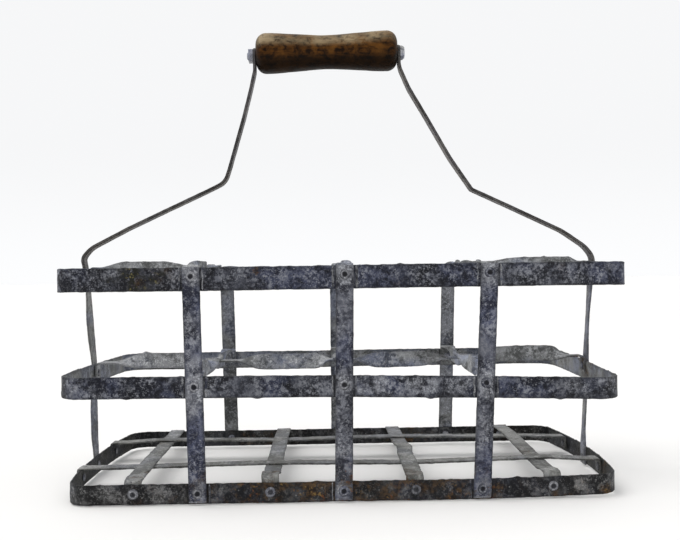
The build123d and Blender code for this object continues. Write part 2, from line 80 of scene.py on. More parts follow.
# bays: first twist, second twist, lift of the on-edge run; flats: before and after each crossing
LONG_SHAPE = {
    "top": dict(bays=[(32, 42, -0.3), (22, 22, -6.8), (22, 22, -6.8), (48, 13, -0.8)], flats=[(8, 8), (8, 8), (8, 8)], rise=1.0),
    "mid": dict(bays=[(35, 16, 1.5), (27, 16, -1.2), (27, 33, -1.0), (22, 19, 2.4)], flats=[(8, 18), (7.2, 8), (8, 8)], rise=0.0),
}
CROSS_LIFT = {
    "top": {"left": (-3.0, -5.6), "centre": (-4.5, -5.6), "right": (-5.5, -4.0)},
    "mid": {"left": (-2.3, -5.0), "centre": (-3.5, -5.0), "right": (-3.0, -5.0)},
}
BASE_Z, FLATW, BASE_RIVET_Z, DIP_Z = 15.55, 8.5, 7.6, 13.6
BASE_HUMP_Z = (16.4, 19.2, 16.2, 16.6)
BASE_CROSS_X = (-148.6, -52.1, 48.5, 146.0)
BASE_SLANT = ((1.9, -1.9), (0.2, 0.0), (0.3, -0.6), (-1.5, 1.5))     # x of the front and back ends
BASE_LONG_Y = {"front": -44.0, "rear": 47.0}
END_TOUCH = 0.02
PIVOT_Z, ARM_W, ARM_T, ARM_GAP = 157.5, 11.0, 2.3, 0.3
GRIP_TILT, GRIP_LEN, GRIP_MID, GRIP_OFF = 0.8, 114.2, (-8.4, 336.9), 1.8
GRIP_END_R, GRIP_WAIST_R = 16.1, 13.4
STRAP_OUT = TOP["hx"] + TOP["bow"] + END_TOUCH + STRIP_T
ARM_X = STRAP_OUT + ARM_GAP + ARM_T / 2
HEAD_FACE = ARM_X + ARM_T / 2 + 0.25
CA, SA = math.cos(math.radians(GRIP_TILT)), math.sin(math.radians(GRIP_TILT))


def strap_x(name, z, sg):
    a, b = STRAP_X[sg][name]
    return a + (b - a) * z / RIM_Z


def divider_x(name, z):
    return (strap_x(name, z, -1) + strap_x(name, z, 1)) / 2


# ------------------------------------------------------------------ noise
def vnoise(p, scale, seed=0):
    """Smooth value noise from -1 to 1 at points p, with features about scale across."""
    q = np.asarray(p, float) / scale + seed * 7.713
    i = np.floor(q).astype(np.int64)
    f = q - i
    f = f * f * (3 - 2 * f)

    def h(dx, dy, dz):
        n = ((i[:, 0] + dx) * 73856093) ^ ((i[:, 1] + dy) * 19349663) ^ ((i[:, 2] + dz) * 83492791) ^ (seed * 7919 + 13)
        n = n & 0x7FFFFFFF
        n = ((n ^ (n >> 13)) * 1274126177) & 0x7FFFFFFF
        n = ((n ^ (n >> 15)) * 2246822519) & 0x7FFFFFFF
        return ((n ^ (n >> 16)) & 0xFFFF) / 65535.0

    x, y, z = f[:, 0], f[:, 1], f[:, 2]
    a = h(0, 0, 0) * (1 - x) + h(1, 0, 0) * x
    b = h(0, 1, 0) * (1 - x) + h(1, 1, 0) * x
    c = h(0, 0, 1) * (1 - x) + h(1, 0, 1) * x
    d = h(0, 1, 1) * (1 - x) + h(1, 1, 1) * x
    return 2 * ((a * (1 - y) + b * y) * (1 - z) + (c * (1 - y) + d * y) * z) - 1


def fbm(p, scale, seed=0, octaves=3):
    v, amp, tot = 0.0, 1.0, 0.0
    for k in range(octaves):
        v = v + amp * vnoise(p, scale / 2 ** k, seed + 31 * k)
        tot += amp
        amp *= 0.55
    return v / tot


def smooth(e0, e1, x):
    t = np.clip((np.asarray(x, float) - e0) / (e1 - e0), 0, 1)
    return t * t * (3 - 2 * t)


# ------------------------------------------------------------------ marks on the zinc
# x, y, z, radius, strength of each patch.
RUST = [
    (-101, -98, 4, 22, 0.6), (-60, -98, 8, 26, 0.75), (-30, -98, 9, 24, 0.8), (5, -98, 6, 24, 0.75),
    (40, -98, 9, 24, 0.8), (75, -98, 8, 24, 0.7), (97, -98, 3, 14, 0.8), (-1.6, -98, 2, 12, 0.9),
    (-140, -98, 6, 16, 0.35), (130, -98, 9, 16, 0.3), (165, -98, 6, 14, 0.4),
    (-61.5, -100, 162.6, 4.0, 1.0), (-60, -100, 160.5, 3.5, 1.0), (-138, -100, 153, 17, 0.45), (-122, -100, 157, 9, 0.5), (-165, -100, 155, 12, 0.3),
    (38, -100, 150, 8, 0.35), (150, -100, 160, 9, 0.3),
    (197, -10, 84, 16, 0.9), (197, 15, 90, 12, 0.8), (199, 0, 100, 12, 0.45),
    (-97, -99, 20, 10, 0.5), (97, -99, 22, 10, 0.35), (3.0, -99, 20, 8, 0.9), (4.0, -99, 9, 8, 1.0), (-98, -99, 16, 6, 0.7),
    (-56, -98, 10, 7, 1.0), (-44, -98, 11, 7, 1.0), (-30, -98, 12, 8, 0.9), (-18, -98, 6, 8, 0.8), (28, -98, 8, 7, 0.9), (62, -98, 8, 7, 0.8),
    (-146, -86, 17, 5, 1.0), (-143, -70, 16, 5, 0.6), (192, -60, 10, 14, 0.5), (185, -98, 1, 10, 0.8), (150, -98, 0, 12, 0.6),
    (60, 96, 8, 30, 0.5), (-70, 96, 8, 30, 0.5), (150, 96, 8, 22, 0.4),
    (-54, -40, 15, 14, 0.3), (47, 30, 15, 16, 0.35), (147, -20, 15, 18, 0.3), (-150, 40, 15, 14, 0.3),
    (0, 0, 89, 9, 0.3), (-104, 30, 165, 14, 0.25), (103, -40, 165, 14, 0.3),
]
ZINC = []        # light patches of fresh zinc
for _k, _h in LEVELS.items():
    for _s in STRAPS:
        for _sg in (-1, 1):
            _x = strap_x(_s, RIVET_Z[_k], _sg)
            ZINC.append((_x, _sg * (_h["hy"] + 1), RIVET_Z[_k] + 0.5, 7.5 if _k != "bot" else 5.5, 0.85))
ZINC += [
    (-102, -100, 76, 8.5, 0.9), (-101.6, -100, 88, 7.0, 0.7), (99, -100, 76, 7.5, 0.55), (99.6, -100, 88, 6.5, 0.4),
    (-104, -101, 162, 7.5, 0.75), (0.1, -101, 162.5, 6.0, 0.5), (103, -101, 162, 6.0, 0.35), (103, -101, 150, 6.0, 0.3),
    (163, -98, 9, 5, 0.9), (196, -4, 12, 6, 0.6), (-101, -99, 82, 9, 1.0), (-102.5, -100, 95, 7, 0.7),
    (20, -99, 82, 17, 0.55), (52, -99, 80, 16, 0.6), (84, -99, 82, 10, 0.6), (75, -99, 74, 10, 0.35),
    (-1, -99, 60, 10, 0.35), (-1, -99, 48, 9, 0.45), (-1.5, -99, 36, 9, 0.4), (97.5, -99, 52, 9, 0.3),
    (-188, -98, 82, 9, 0.5), (-172, -98, 76, 10, 0.35), (186, -95, 84, 11, 0.45), (160, -99, 80, 11, 0.35),
    (186, -99, 160, 7, 0.4), (160, -100, 153, 9, 0.3), (-188, -99, 160, 7, 0.3), (-190, -99, 150, 6, 0.25),
    (-165, -98, 11, 9, 0.4), (-128, -98, 5, 9, 0.4), (165, -98, 11, 10, 0.4), (135, -98, 4, 9, 0.35), (186, -90, 10, 9, 0.4),
    (-100, -99, 12, 6, 0.5), (96.5, -99, 13, 6, 0.4),
    (202, 0, 157, 9, 0.4), (-202, 0, 157, 9, 0.4), (200, 0, 60, 14, 0.3), (-199, 0, 55, 18, 0.35),
]
INNER_ZINC_AND_SHEEN = [      # light patches on faces turned inwards: partly fresh zinc, partly painted highlights and reflections where these faces and the dividers turn to the light
    (101, 99, 140, 26, 0.95), (100, 99, 115, 22, 0.9), (99, 98, 60, 20, 0.7), (98, 98, 40, 20, 0.7), (-102, 99, 130, 16, 0.4),
    (-150, 0, 90, 26, 1.0), (-175, 0, 90, 18, 0.9), (-128, 0, 90, 18, 0.9), (-30, 0, 88, 22, 0.7), (-60, 0, 88, 16, 0.6), (-188, 0, 90, 14, 1.0),
    (150, 0, 166, 30, 0.35), (-150, 0, 166, 30, 0.5), (60, 0, 88, 20, 0.3), (175, 0, 90, 16, 0.35), (95, -40, 86, 18, 0.75), (-102, -40, 88, 18, 0.5),
    (195, 40, 80, 30, 0.35), (-195, 30, 80, 26, 0.2), (0, -99, 150, 8, 0.3),
]
OCHRE = [(-146, -100, 156, 11, 1.0), (-136, -100, 154, 9, 0.8), (-150, -100, 159, 8, 0.8), (-126, -100, 157, 7, 0.7), (-160, -100, 155, 6, 0.5)]
BLACK = [(-168, -100, 155, 8, 0.5), (-178, -100, 152, 7, 0.4), (45, -100, 150, 9, 0.6), (-152, -99, 80, 7, 0.5), (150, -98, 78, 12, 0.5),
         (-40, -99, 80, 20, 0.35), (-60, -98, 6, 18, 0.3), (25, -98, 9, 20, 0.35), (60, -98, 4, 16, 0.3), (-60, -100, 152, 12, 0.3)]
# x, y, z, radius, height of blobs where the molten zinc ran and set
LUMPS = [
    (-176.5, 0, 170.5, 1.6, 1.6), (-173.0, 0, 170.3, 1.3, 1.1), (166, 0, 170, 1.2, 1.0), (-190, 46, 15, 3.0, 1.3), (196, -3, 11, 3.2, 0.9),
    (-158.5, 2, 171.0, 1.8, 0.6),
    (150, 0, 171.2, 1.8, 0.6),
    (-158, 0, 96.5, 2.6, 1.5), (-60, 0, 96.0, 2.0, 0.9), (35, 0, 96.2, 2.2, 1.0), (142, 0, 96.4, 2.2, 1.0),
    (-104, 50, 96, 2.0, 1.0), (99, 40, 96, 2.2, 1.0),
    (-190, -80, 164.2, 2.2, 0.9), (-150, -100, 164.2, 2.0, 0.8), (40, -100, 164.2, 2.2, 0.8), (170, -100, 164, 2.0, 0.7),
    (-150, -99, 72.5, 2.0, 0.9), (-60, -99, 72.6, 2.4, 0.9), (60, -99, 71, 2.4, 1.0), (150, -99, 69, 2.0, 0.8),
    (-170, -97.5, 15.2, 2.0, 0.8), (-20, -97.5, 15.2, 2.0, 0.7), (120, -97.5, 15.2, 2.0, 0.7),
]


def patches(X, spots, seed):
    m = np.zeros(len(X))
    for x, y, z, r, s in spots:
        d2 = (X[:, 0] - x) ** 2 + (X[:, 1] - y) ** 2 + (X[:, 2] - z) ** 2
        near = d2 < (2.2 * r) ** 2
        if near.any():
            m[near] = np.maximum(m[near], s * np.exp(-d2[near] / (r * r)))
    if m.any():
        m = m * (0.75 + 0.65 * fbm(X, 5.0, seed, 3))
    return np.clip(m, 0, 1)


# ------------------------------------------------------------------ paths and strips
def rounded(pts, radii, step):
    """Points every step along a polyline whose inner corners have these radii."""
    pts = [np.array(p, float) for p in pts]
    out = [pts[0]]
    runs = [np.linalg.norm(pts[i + 1] - pts[i]) for i in range(len(pts) - 1)]
    dirs = [(pts[i + 1] - pts[i]) / runs[i] for i in range(len(runs))]
    for i in range(1, len(pts) - 1):
        a, b = dirs[i - 1], dirs[i]
        ang = math.acos(max(-1.0, min(1.0, float(a @ b))))
        if ang < 1e-4 or radii[i - 1] <= 0:
            out.append(pts[i])
            continue
        tan = math.tan(ang / 2)
        r = min(radii[i - 1], 0.48 * min(runs[i - 1], runs[i]) / tan)
        tl = r * tan
        p0, p1 = pts[i] - a * tl, pts[i] + b * tl
        k = max(2, int(r * ang / min(step, 0.8)) + 1)
        bis = (b - a) / np.linalg.norm(b - a)
        c = pts[i] + bis * (r / math.cos(ang / 2))
        e0, e1 = p0 - c, p1 - c
        for j in range(k + 1):
            u = j / k
            w0, w1 = math.sin((1 - u) * ang), math.sin(u * ang)
            out.append(c + (e0 * w0 + e1 * w1) / math.sin(ang))
    out.append(pts[-1])
    fine = [out[0]]
    for q in out[1:]:
        d = np.linalg.norm(q - fine[-1])
        if d < 1e-6:
            continue
        n = max(1, int(math.ceil(d / step)))
        p = fine[-1]
        for j in range(1, n + 1):
            fine.append(p + (q - p) * j / n)
    return np.array(fine)


def tangents(P, closed=False):
    if closed:
        T = np.roll(P, -1, 0) - np.roll(P, 1, 0)
    else:
        T = np.gradient(P, axis=0)
    return T / np.linalg.norm(T, axis=1)[:, None]


def section(w, t, k=7):
    """Ring of (u, v, out_u, out_v, side) round a strip of width w and thickness t."""
    r = min(0.42 * t, 0.6)
    ring = []
    for i in range(k):
        u = -(w / 2 - r) + (w - 2 * r) * i / (k - 1)
        ring.append((u, t / 2, 0.0, 1.0, 1.0))
    q = 0.7071
    ring += [(w / 2 - r + r * q, t / 2 - r + r * q, q, q, 0.7), (w / 2, t / 2 - r, 1, 0, 0.5),
             (w / 2, -t / 2 + r, 1, 0, 0.5), (w / 2 - r + r * q, -t / 2 + r - r * q, q, -q, 0.3)]
    for i in range(k):
        u = (w / 2 - r) - (w - 2 * r) * i / (k - 1)
        ring.append((u, -t / 2, 0.0, -1.0, 0.0))
    ring += [(-w / 2 + r - r * q, -t / 2 + r - r * q, -q, -q, 0.3), (-w / 2, -t / 2 + r, -1, 0, 0.5),
             (-w / 2, t / 2 - r, -1, 0, 0.5), (-w / 2 + r - r * q, t / 2 - r + r * q, -q, q, 0.7)]
    return np.array(ring)


def strip(P, W, N, w, t, closed=False, seed=1, bend=0.25, rough=0.10, rag=0.30, blob=0.5, k=7, scale_w=None, rag_low=None):
    """Verts, faces and marks of a bent strip. W is the width direction and N the outward face
    direction at each point of the middle line P."""
    n = len(P)
    W = np.broadcast_to(W, P.shape)
    N = np.broadcast_to(N, P.shape)
    S = section(w, t, k)
    m = len(S)
    if scale_w is None:
        scale_w = np.ones(n)
    shift = bend * vnoise(P, 34.0, seed) + 0.45 * bend * vnoise(P, 12.0, seed + 1)
    base = P + N * shift[:, None]
    V = (base[:, None, :] + W[:, None, :] * (S[None, :, 0] * scale_w[:, None])[:, :, None]
         + N[:, None, :] * S[None, :, 1][:, :, None])
    O = W[:, None, :] * S[None, :, 2][:, :, None] + N[:, None, :] * S[None, :, 3][:, :, None]
    X = V.reshape(-1, 3)
    Of = O.reshape(-1, 3)
    # ragged sheared edges with a bead of zinc here and there
    edge = np.abs(S[:, 0]) / (w / 2)
    ew = np.tile(smooth(0.80, 1.0, edge), n)
    d = rough * fbm(X, 2.6, seed + 2, 3) + 0.4 * rough * vnoise(X, 0.9, seed + 8)
    run = np.repeat(P, m, 0) + np.tile(S[:, 0], n)[:, None] * 40.0
    amt = rag if rag_low is None else np.where(np.tile(S[:, 0], n) > 0, rag, rag_low)
    d = d + ew * amt * (vnoise(run, 4.0, seed + 3) + 0.5 * vnoise(run, 1.7, seed + 4)) * 0.8
    d = d + ew * blob * np.clip(vnoise(run, 6.5, seed + 5) - 0.45, 0, 1) * 1.5 * (1.0 if rag_low is None else np.where(np.tile(S[:, 0], n) > 0, 1.0, 0.3))
    d = d + blob * 0.75 * np.clip(fbm(X, 6.0, seed + 6, 2) - 0.42, 0, 1) * 1.6
    for x, y, z, r, hgt in LUMPS:
        q2 = ((X - np.array([x, y, z])) ** 2).sum(1)
        near = q2 < (3 * r) ** 2
        if near.any():
            d[near] = d[near] + hgt * np.exp(-q2[near] / (r * r))
    X = X + Of * d[:, None]
    side = np.tile(S[:, 4], n)
    edgem = np.tile(smooth(0.72, 1.0, edge), n)
    faces = []
    idx = np.arange(n * m).reshape(n, m)
    last = n if closed else n - 1
    for i in range(last):
        a, b = idx[i], idx[(i + 1) % n]
        for j in range(m):
            j2 = (j + 1) % m
            faces.append((int(a[j]), int(a[j2]), int(b[j2]), int(b[j])))
    if not closed:
        T = tangents(P)
        for end, i, sg in ((0, 0, -1.0), (1, n - 1, 1.0)):
            c = X[idx[i]].mean(0)
            ring = X[idx[i]] * 0.0
            for j in range(m):
                v = X[idx[i][j]] - c
                vw = v @ W[i]
                vn = v @ N[i]
                vw2 = math.copysign(max(0.0, abs(vw) - 0.35 * t), vw)
                ring[j] = c + W[i] * vw2 + N[i] * (vn * 0.45) + T[i] * sg * 0.28 * t
            start = len(X)
            X = np.vstack([X, ring])
            side = np.concatenate([side, np.full(m, 0.5)])
            edgem = np.concatenate([edgem, np.ones(m)])
            for j in range(m):
                j2 = (j + 1) % m
                f = (int(idx[i][j]), int(idx[i][j2]), start + j2, start + j)
                faces.append(f[::-1] if end == 0 else f)
            cap = tuple(range(start, start + m))
            faces.append(cap[::-1] if end == 0 else cap)
    return X, faces, {"side": side, "edge": edgem}


def build(name, parts, mat, body, nodes, seed=1, marks=True, both=False):
    """One smooth-shaded object from (verts, faces, marks) parts, riding on body in place of nodes."""
    verts, faces, data, off = [], [], {}, 0
    for X, F, A in parts:
        verts.append(X)
        faces += [tuple(i + off for i in f) for f in F]
        for key in ("side", "edge", "zinc", "rust", "dark", "ochre"):
            data.setdefault(key, []).append(A.get(key, np.zeros(len(X))))
        off += len(X)
    X = np.vstack(verts)
    me = bpy.data.meshes.new(name)
    me.from_pydata((X * MM).tolist(), [], faces)
    me.validate()
    attrs = {key: np.concatenate(v) for key, v in data.items()}
    if marks:
        attrs["zinc"] = np.maximum(attrs["zinc"], patches(X, ZINC, 71) * smooth(0.2, 0.8, attrs["side"]))
        # light patches on inward faces and dividers: partly fresh zinc, partly painted highlight and reflection
        attrs["zinc"] = np.maximum(attrs["zinc"], patches(X, INNER_ZINC_AND_SHEEN, 73) * (1.0 if both else smooth(0.8, 0.2, attrs["side"])))
        attrs["rust"] = np.maximum(attrs["rust"], patches(X, RUST, 72))
        attrs["ochre"] = np.maximum(attrs["ochre"], patches(X, OCHRE, 74))
        attrs["dark"] = np.maximum(attrs["dark"], 0.8 * patches(X, BLACK, 75))
    for key, v in attrs.items():
        a = me.attributes.new(key, "FLOAT", "POINT")
        a.data.foreach_set("value", v.astype(np.float32))
    me.polygons.foreach_set("use_smooth", [True] * len(me.polygons))
    me.update()
    o = bpy.data.objects.new(name, me)
    bpy.context.scene.collection.objects.link(o)
    me.materials.append(mat)
    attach(o, body)
    if nodes:
        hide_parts(*nodes)
    return o


# ------------------------------------------------------------------ materials
class Graph:
    def __init__(self, name):
        self.mat = bpy.data.materials.new(name)
        self.mat.use_nodes = True
        self.nt = self.mat.node_tree
        self.nt.nodes.clear()
        self.out = self.nt.nodes.new("ShaderNodeOutputMaterial")
        self.sh = self.nt.nodes.new("ShaderNodeBsdfPrincipled")
        self.nt.links.new(self.sh.outputs[0], self.out.inputs[0])
        self.co = self.nt.nodes.new("ShaderNodeTexCoord").outputs["Object"]

    def put(self, sock, v):
        if isinstance(v, bpy.types.NodeSocket):
            self.nt.links.new(v, sock)
        elif v is not None:
            if sock.type == "RGBA" and len(v) == 3:
                v = (*v, 1.0)
            sock.default_value = v

    def math(self, op, a, b=None, c=None, clamp=False):
        n = self.nt.nodes.new("ShaderNodeMath")
        n.operation = op
        n.use_clamp = clamp
        for s, v in zip(n.inputs, (a, b, c)):
            self.put(s, v)
        return n.outputs[0]

    def mapped(self, scale, loc=(0, 0, 0)):
        n = self.nt.nodes.new("ShaderNodeMapping")
        self.put(n.inputs["Vector"], self.co)
        n.inputs["Scale"].default_value = scale
        n.inputs["Location"].default_value = loc
        return n.outputs[0]

    def noise(self, scale, detail=4.0, rough=0.55, dist=0.0, co=None, lac=2.0):
        n = self.nt.nodes.new("ShaderNodeTexNoise")
        self.put(n.inputs["Vector"], co or self.co)
        for key, v in (("Scale", scale), ("Detail", detail), ("Roughness", rough), ("Distortion", dist), ("Lacunarity", lac)):
            n.inputs[key].default_value = v
        return n.outputs[0]

    def voronoi(self, scale, feature="F1", co=None, rand=1.0):
        n = self.nt.nodes.new("ShaderNodeTexVoronoi")
        n.feature = feature
        self.put(n.inputs["Vector"], co or self.co)
        n.inputs["Scale"].default_value = scale
        n.inputs["Randomness"].default_value = rand
        return n.outputs["Distance"], n.outputs.get("Color")

    def attr(self, name):
        n = self.nt.nodes.new("ShaderNodeAttribute")
        n.attribute_name = name
        return n.outputs["Fac"]

    def span(self, v, a, b, lo=0.0, hi=1.0, kind="SMOOTHSTEP"):
        n = self.nt.nodes.new("ShaderNodeMapRange")
        n.interpolation_type = kind
        self.put(n.inputs[0], v)
        for i, x in enumerate((a, b, lo, hi)):
            n.inputs[i + 1].default_value = x
        return n.outputs[0]

    def mix(self, fac, a, b, mode="MIX"):
        n = self.nt.nodes.new("ShaderNodeMix")
        n.data_type = "RGBA"
        n.blend_type = mode
        self.put(n.inputs[0], fac)
        self.put(n.inputs[6], a)
        self.put(n.inputs[7], b)
        return n.outputs[2]

    def bump(self, height, strength, distance, normal=None):
        n = self.nt.nodes.new("ShaderNodeBump")
        n.inputs["Strength"].default_value = strength
        n.inputs["Distance"].default_value = distance
        self.put(n.inputs["Height"], height)
        if normal is not None:
            self.put(n.inputs["Normal"], normal)
        return n.outputs[0]

    def finish(self, color, rough, normal, metallic=0.0, spec=0.4):
        self.put(self.sh.inputs["Base Color"], color)
        self.put(self.sh.inputs["Roughness"], rough)
        self.put(self.sh.inputs["Normal"], normal)
        self.sh.inputs["Metallic"].default_value = metallic
        self.sh.inputs["Specular IOR Level"].default_value = spec
        return self.mat


def zinc(name, outer, inner, light, patchy=0.5, rust_all=0.0, spec=0.2, metallic=0.1, seed=0.0, grainy=0.5, cool=0.75, inner_k=1.0):
    """Old galvanised strip. outer and inner are (dark, mid) colours of the two faces; the difference between the faces
    is painted light and shade.
    """
    g = Graph(name)
    g.co = g.mapped((1, 1, 1), (seed, seed * 0.7, seed * 1.3))
    big = g.noise(34, 3, 0.55, 0.3)
    blot = g.noise(110, 6, 0.62, 0.6)
    fine = g.noise(430, 5, 0.66, 0.3)
    grain = g.noise(1050, 3, 0.62)
    grit = g.noise(2300, 2, 0.6)
    side = g.attr("side")
    edge = g.attr("edge")
    pit_d, pit_c = g.voronoi(480)
    bub_d, bub_c = g.voronoi(330)

    base_m = g.math("ADD", g.math("MULTIPLY", big, 0.34), g.math("ADD", g.math("MULTIPLY", blot, 0.44), g.math("MULTIPLY", fine, 0.22)))
    m = g.span(base_m, 0.43, 0.57)
    # fields of lighter and darker metal a few centimetres across
    zone = g.span(g.noise(46, 3, 0.55, 0.8), 0.40, 0.60)
    # painted light and shade: each face gets its own colour pair, lighter or darker for the light it turns to
    col_o = g.mix(m, outer[0], outer[1])
    col_i = g.mix(m, inner[0], inner[1])
    col = g.mix(side, col_i, col_o)
    # blue cast in clouds, a little green elsewhere
    cast = g.span(g.noise(26, 2, 0.5), 0.42, 0.60)
    col = g.mix(g.math("MULTIPLY", cast, cool), col, g.mix(1.0, col, (0.84, 0.93, 1.32), "MULTIPLY"))
    # light oxide blooms and the crystalline grain of the zinc
    ox = g.math("ADD", g.math("MULTIPLY", blot, 0.50), g.math("MULTIPLY", fine, 0.50))
    bloom = g.math("MULTIPLY", g.span(ox, 0.49, 0.60), g.span(zone, 0.0, 1.0, 0.35, 1.0))
    gr = g.span(g.math("ADD", g.math("MULTIPLY", grain, 0.58), g.math("MULTIPLY", fine, 0.42)), 0.50, 0.63)
    face_k = g.span(side, 0.2, 0.8, inner_k, 1.0)
    col = g.mix(g.math("MULTIPLY", g.math("MULTIPLY", bloom, patchy), face_k), col, light)
    col = g.mix(g.math("MULTIPLY", g.math("MULTIPLY", gr, g.span(zone, 0.0, 1.0, 0.40 * grainy, 1.15 * grainy)), face_k), col, light)
    # small blisters and pits
    sel = g.nt.nodes.new("ShaderNodeSeparateColor")
    g.put(sel.inputs[0], bub_c)
    dot = g.math("MULTIPLY", g.span(bub_d, 0.26, 0.10), g.span(sel.outputs[0], 0.80, 0.86))
    sel2 = g.nt.nodes.new("ShaderNodeSeparateColor")
    g.put(sel2.inputs[0], pit_c)
    pits = g.math("MULTIPLY", g.span(pit_d, 0.34, 0.14), g.span(sel2.outputs[1], 0.74, 0.82))
    col = g.mix(g.math("MULTIPLY", dot, 0.55), col, light)
    col = g.mix(g.math("MULTIPLY", pits, 0.70), col, tuple(c * 0.4 for c in outer[0]))
    # fresh zinc round the rivets and in patches, together with painted highlights and reflections that ride on the same
    # zinc mask
    zn = g.math("MULTIPLY", g.attr("zinc"), g.span(ox, 0.38, 0.56, 0.35, 1.0))
    zn = g.span(zn, 0.05, 0.58)
    zc = g.mix(gr, tuple(c * 0.66 for c in light), tuple(min(1.0, c * 1.45) for c in light))
    col = g.mix(g.math("MULTIPLY", zn, 0.92), col, zc)
    # sheared edges, darker grime on them
    col = g.mix(g.math("MULTIPLY", edge, g.span(fine, 0.42, 0.58, 0.10, 0.55)), col, tuple(c * 0.5 for c in outer[0]))
    # rust
    rn = g.math("ADD", g.math("MULTIPLY", g.noise(85, 5, 0.6, 0.4), 0.55), g.math("MULTIPLY", fine, 0.45))
    ra = g.math("ADD", g.attr("rust"), rust_all)
    rmask = g.span(g.math("MULTIPLY", ra, g.span(rn, 0.40, 0.58)), 0.10, 0.62)
    rust_c = g.mix(g.span(g.noise(300, 4, 0.6), 0.42, 0.60), (0.018, 0.011, 0.007), (0.088, 0.050, 0.021))
    col = g.mix(g.math("MULTIPLY", rmask, 0.80), col, rust_c)
    speck = g.span(g.math("MULTIPLY", ra, g.span(g.noise(330, 4, 0.62), 0.55, 0.66)), 0.30, 0.75)
    col = g.mix(g.math("MULTIPLY", speck, 0.8), col, g.mix(g.span(g.noise(90, 2, 0.5), 0.45, 0.55), (0.175, 0.062, 0.024), (0.21, 0.13, 0.042)))
    # near-black patches with ochre specks
    oc = g.attr("ochre")
    col = g.mix(g.span(g.math("MULTIPLY", oc, g.span(blot, 0.40, 0.55)), 0.10, 0.60), col, (0.013, 0.013, 0.010))
    col = g.mix(g.span(g.math("MULTIPLY", oc, g.span(g.noise(230, 5, 0.66), 0.50, 0.64)), 0.20, 0.75), col, (0.175, 0.150, 0.060))
    # the dark mask: black stains, plus painted shade and shadow that the strips carry in it
    col = g.mix(g.attr("dark"), col, (0.006, 0.006, 0.008))
    rough = g.math("ADD", g.span(ox, 0.40, 0.62, 0.50, 0.72), g.math("MULTIPLY", rmask, 0.2), clamp=True)
    h = g.math("ADD", g.math("MULTIPLY", blot, 0.9), g.math("MULTIPLY", fine, 0.55))
    h = g.math("ADD", h, g.math("ADD", g.math("MULTIPLY", grain, 0.22), g.math("MULTIPLY", grit, 0.08)))
    h = g.math("ADD", h, g.math("MULTIPLY", dot, 0.30))
    h = g.math("SUBTRACT", h, g.math("MULTIPLY", pits, 0.5))
    nrm = g.bump(h, 0.75, 0.0009)
    return g.finish(col, rough, nrm, metallic, spec)


hoop_zinc = zinc("hoop_zinc", ((0.006, 0.0065, 0.010), (0.056, 0.060, 0.078)), ((0.085, 0.088, 0.086), (0.215, 0.218, 0.208)),
                 (0.30, 0.31, 0.34), patchy=0.62, grainy=0.50, seed=0.0)
low_zinc = zinc("low_hoop_zinc", ((0.006, 0.006, 0.0065), (0.042, 0.042, 0.043)), ((0.005, 0.005, 0.0045), (0.034, 0.034, 0.030)),
                (0.26, 0.26, 0.26), patchy=0.50, grainy=0.40, rust_all=0.08, seed=0.31, inner_k=0.5)
strap_zinc = zinc("strap_zinc", ((0.017, 0.018, 0.026), (0.098, 0.103, 0.128)), ((0.055, 0.057, 0.057), (0.185, 0.188, 0.185)),
                  (0.33, 0.34, 0.37), patchy=0.60, grainy=0.50, seed=0.77)
end_zinc = zinc("end_strap_zinc", ((0.09, 0.09, 0.088), (0.23, 0.23, 0.225)), ((0.09, 0.09, 0.088), (0.23, 0.23, 0.225)),
                (0.40, 0.40, 0.39), patchy=0.4, rust_all=0.05, seed=1.3)
div_zinc = zinc("divider_zinc", ((0.085, 0.088, 0.088), (0.270, 0.278, 0.285)), ((0.085, 0.088, 0.088), (0.270, 0.278, 0.285)),
                (0.50, 0.51, 0.53), patchy=0.60, grainy=0.40, rust_all=0.03, seed=1.9)
base_zinc = zinc("base_zinc", ((0.085, 0.087, 0.081), (0.215, 0.217, 0.208)), ((0.030, 0.030, 0.028), (0.100, 0.100, 0.094)),
                 (0.44, 0.44, 0.43), patchy=0.60, rust_all=0.14, seed=2.6, cool=0.35)
rivet_zinc = zinc("rivet_zinc", ((0.035, 0.037, 0.044), (0.120, 0.124, 0.140)), ((0.06, 0.06, 0.065), (0.16, 0.16, 0.165)),
                  (0.34, 0.345, 0.37), patchy=0.4, seed=3.1)
nut_zinc = zinc("nut_zinc", ((0.20, 0.20, 0.20), (0.36, 0.36, 0.355)), ((0.20, 0.20, 0.20), (0.36, 0.36, 0.355)),
                (0.55, 0.55, 0.54), patchy=0.4, seed=3.9, metallic=0.3)
bail_steel = zinc("bail_steel", ((0.020, 0.018, 0.017), (0.070, 0.064, 0.060)), ((0.075, 0.070, 0.065), (0.185, 0.172, 0.160)),
                  (0.30, 0.285, 0.27), patchy=0.5, rust_all=0.08, seed=4.4, metallic=0.2, cool=0.3)


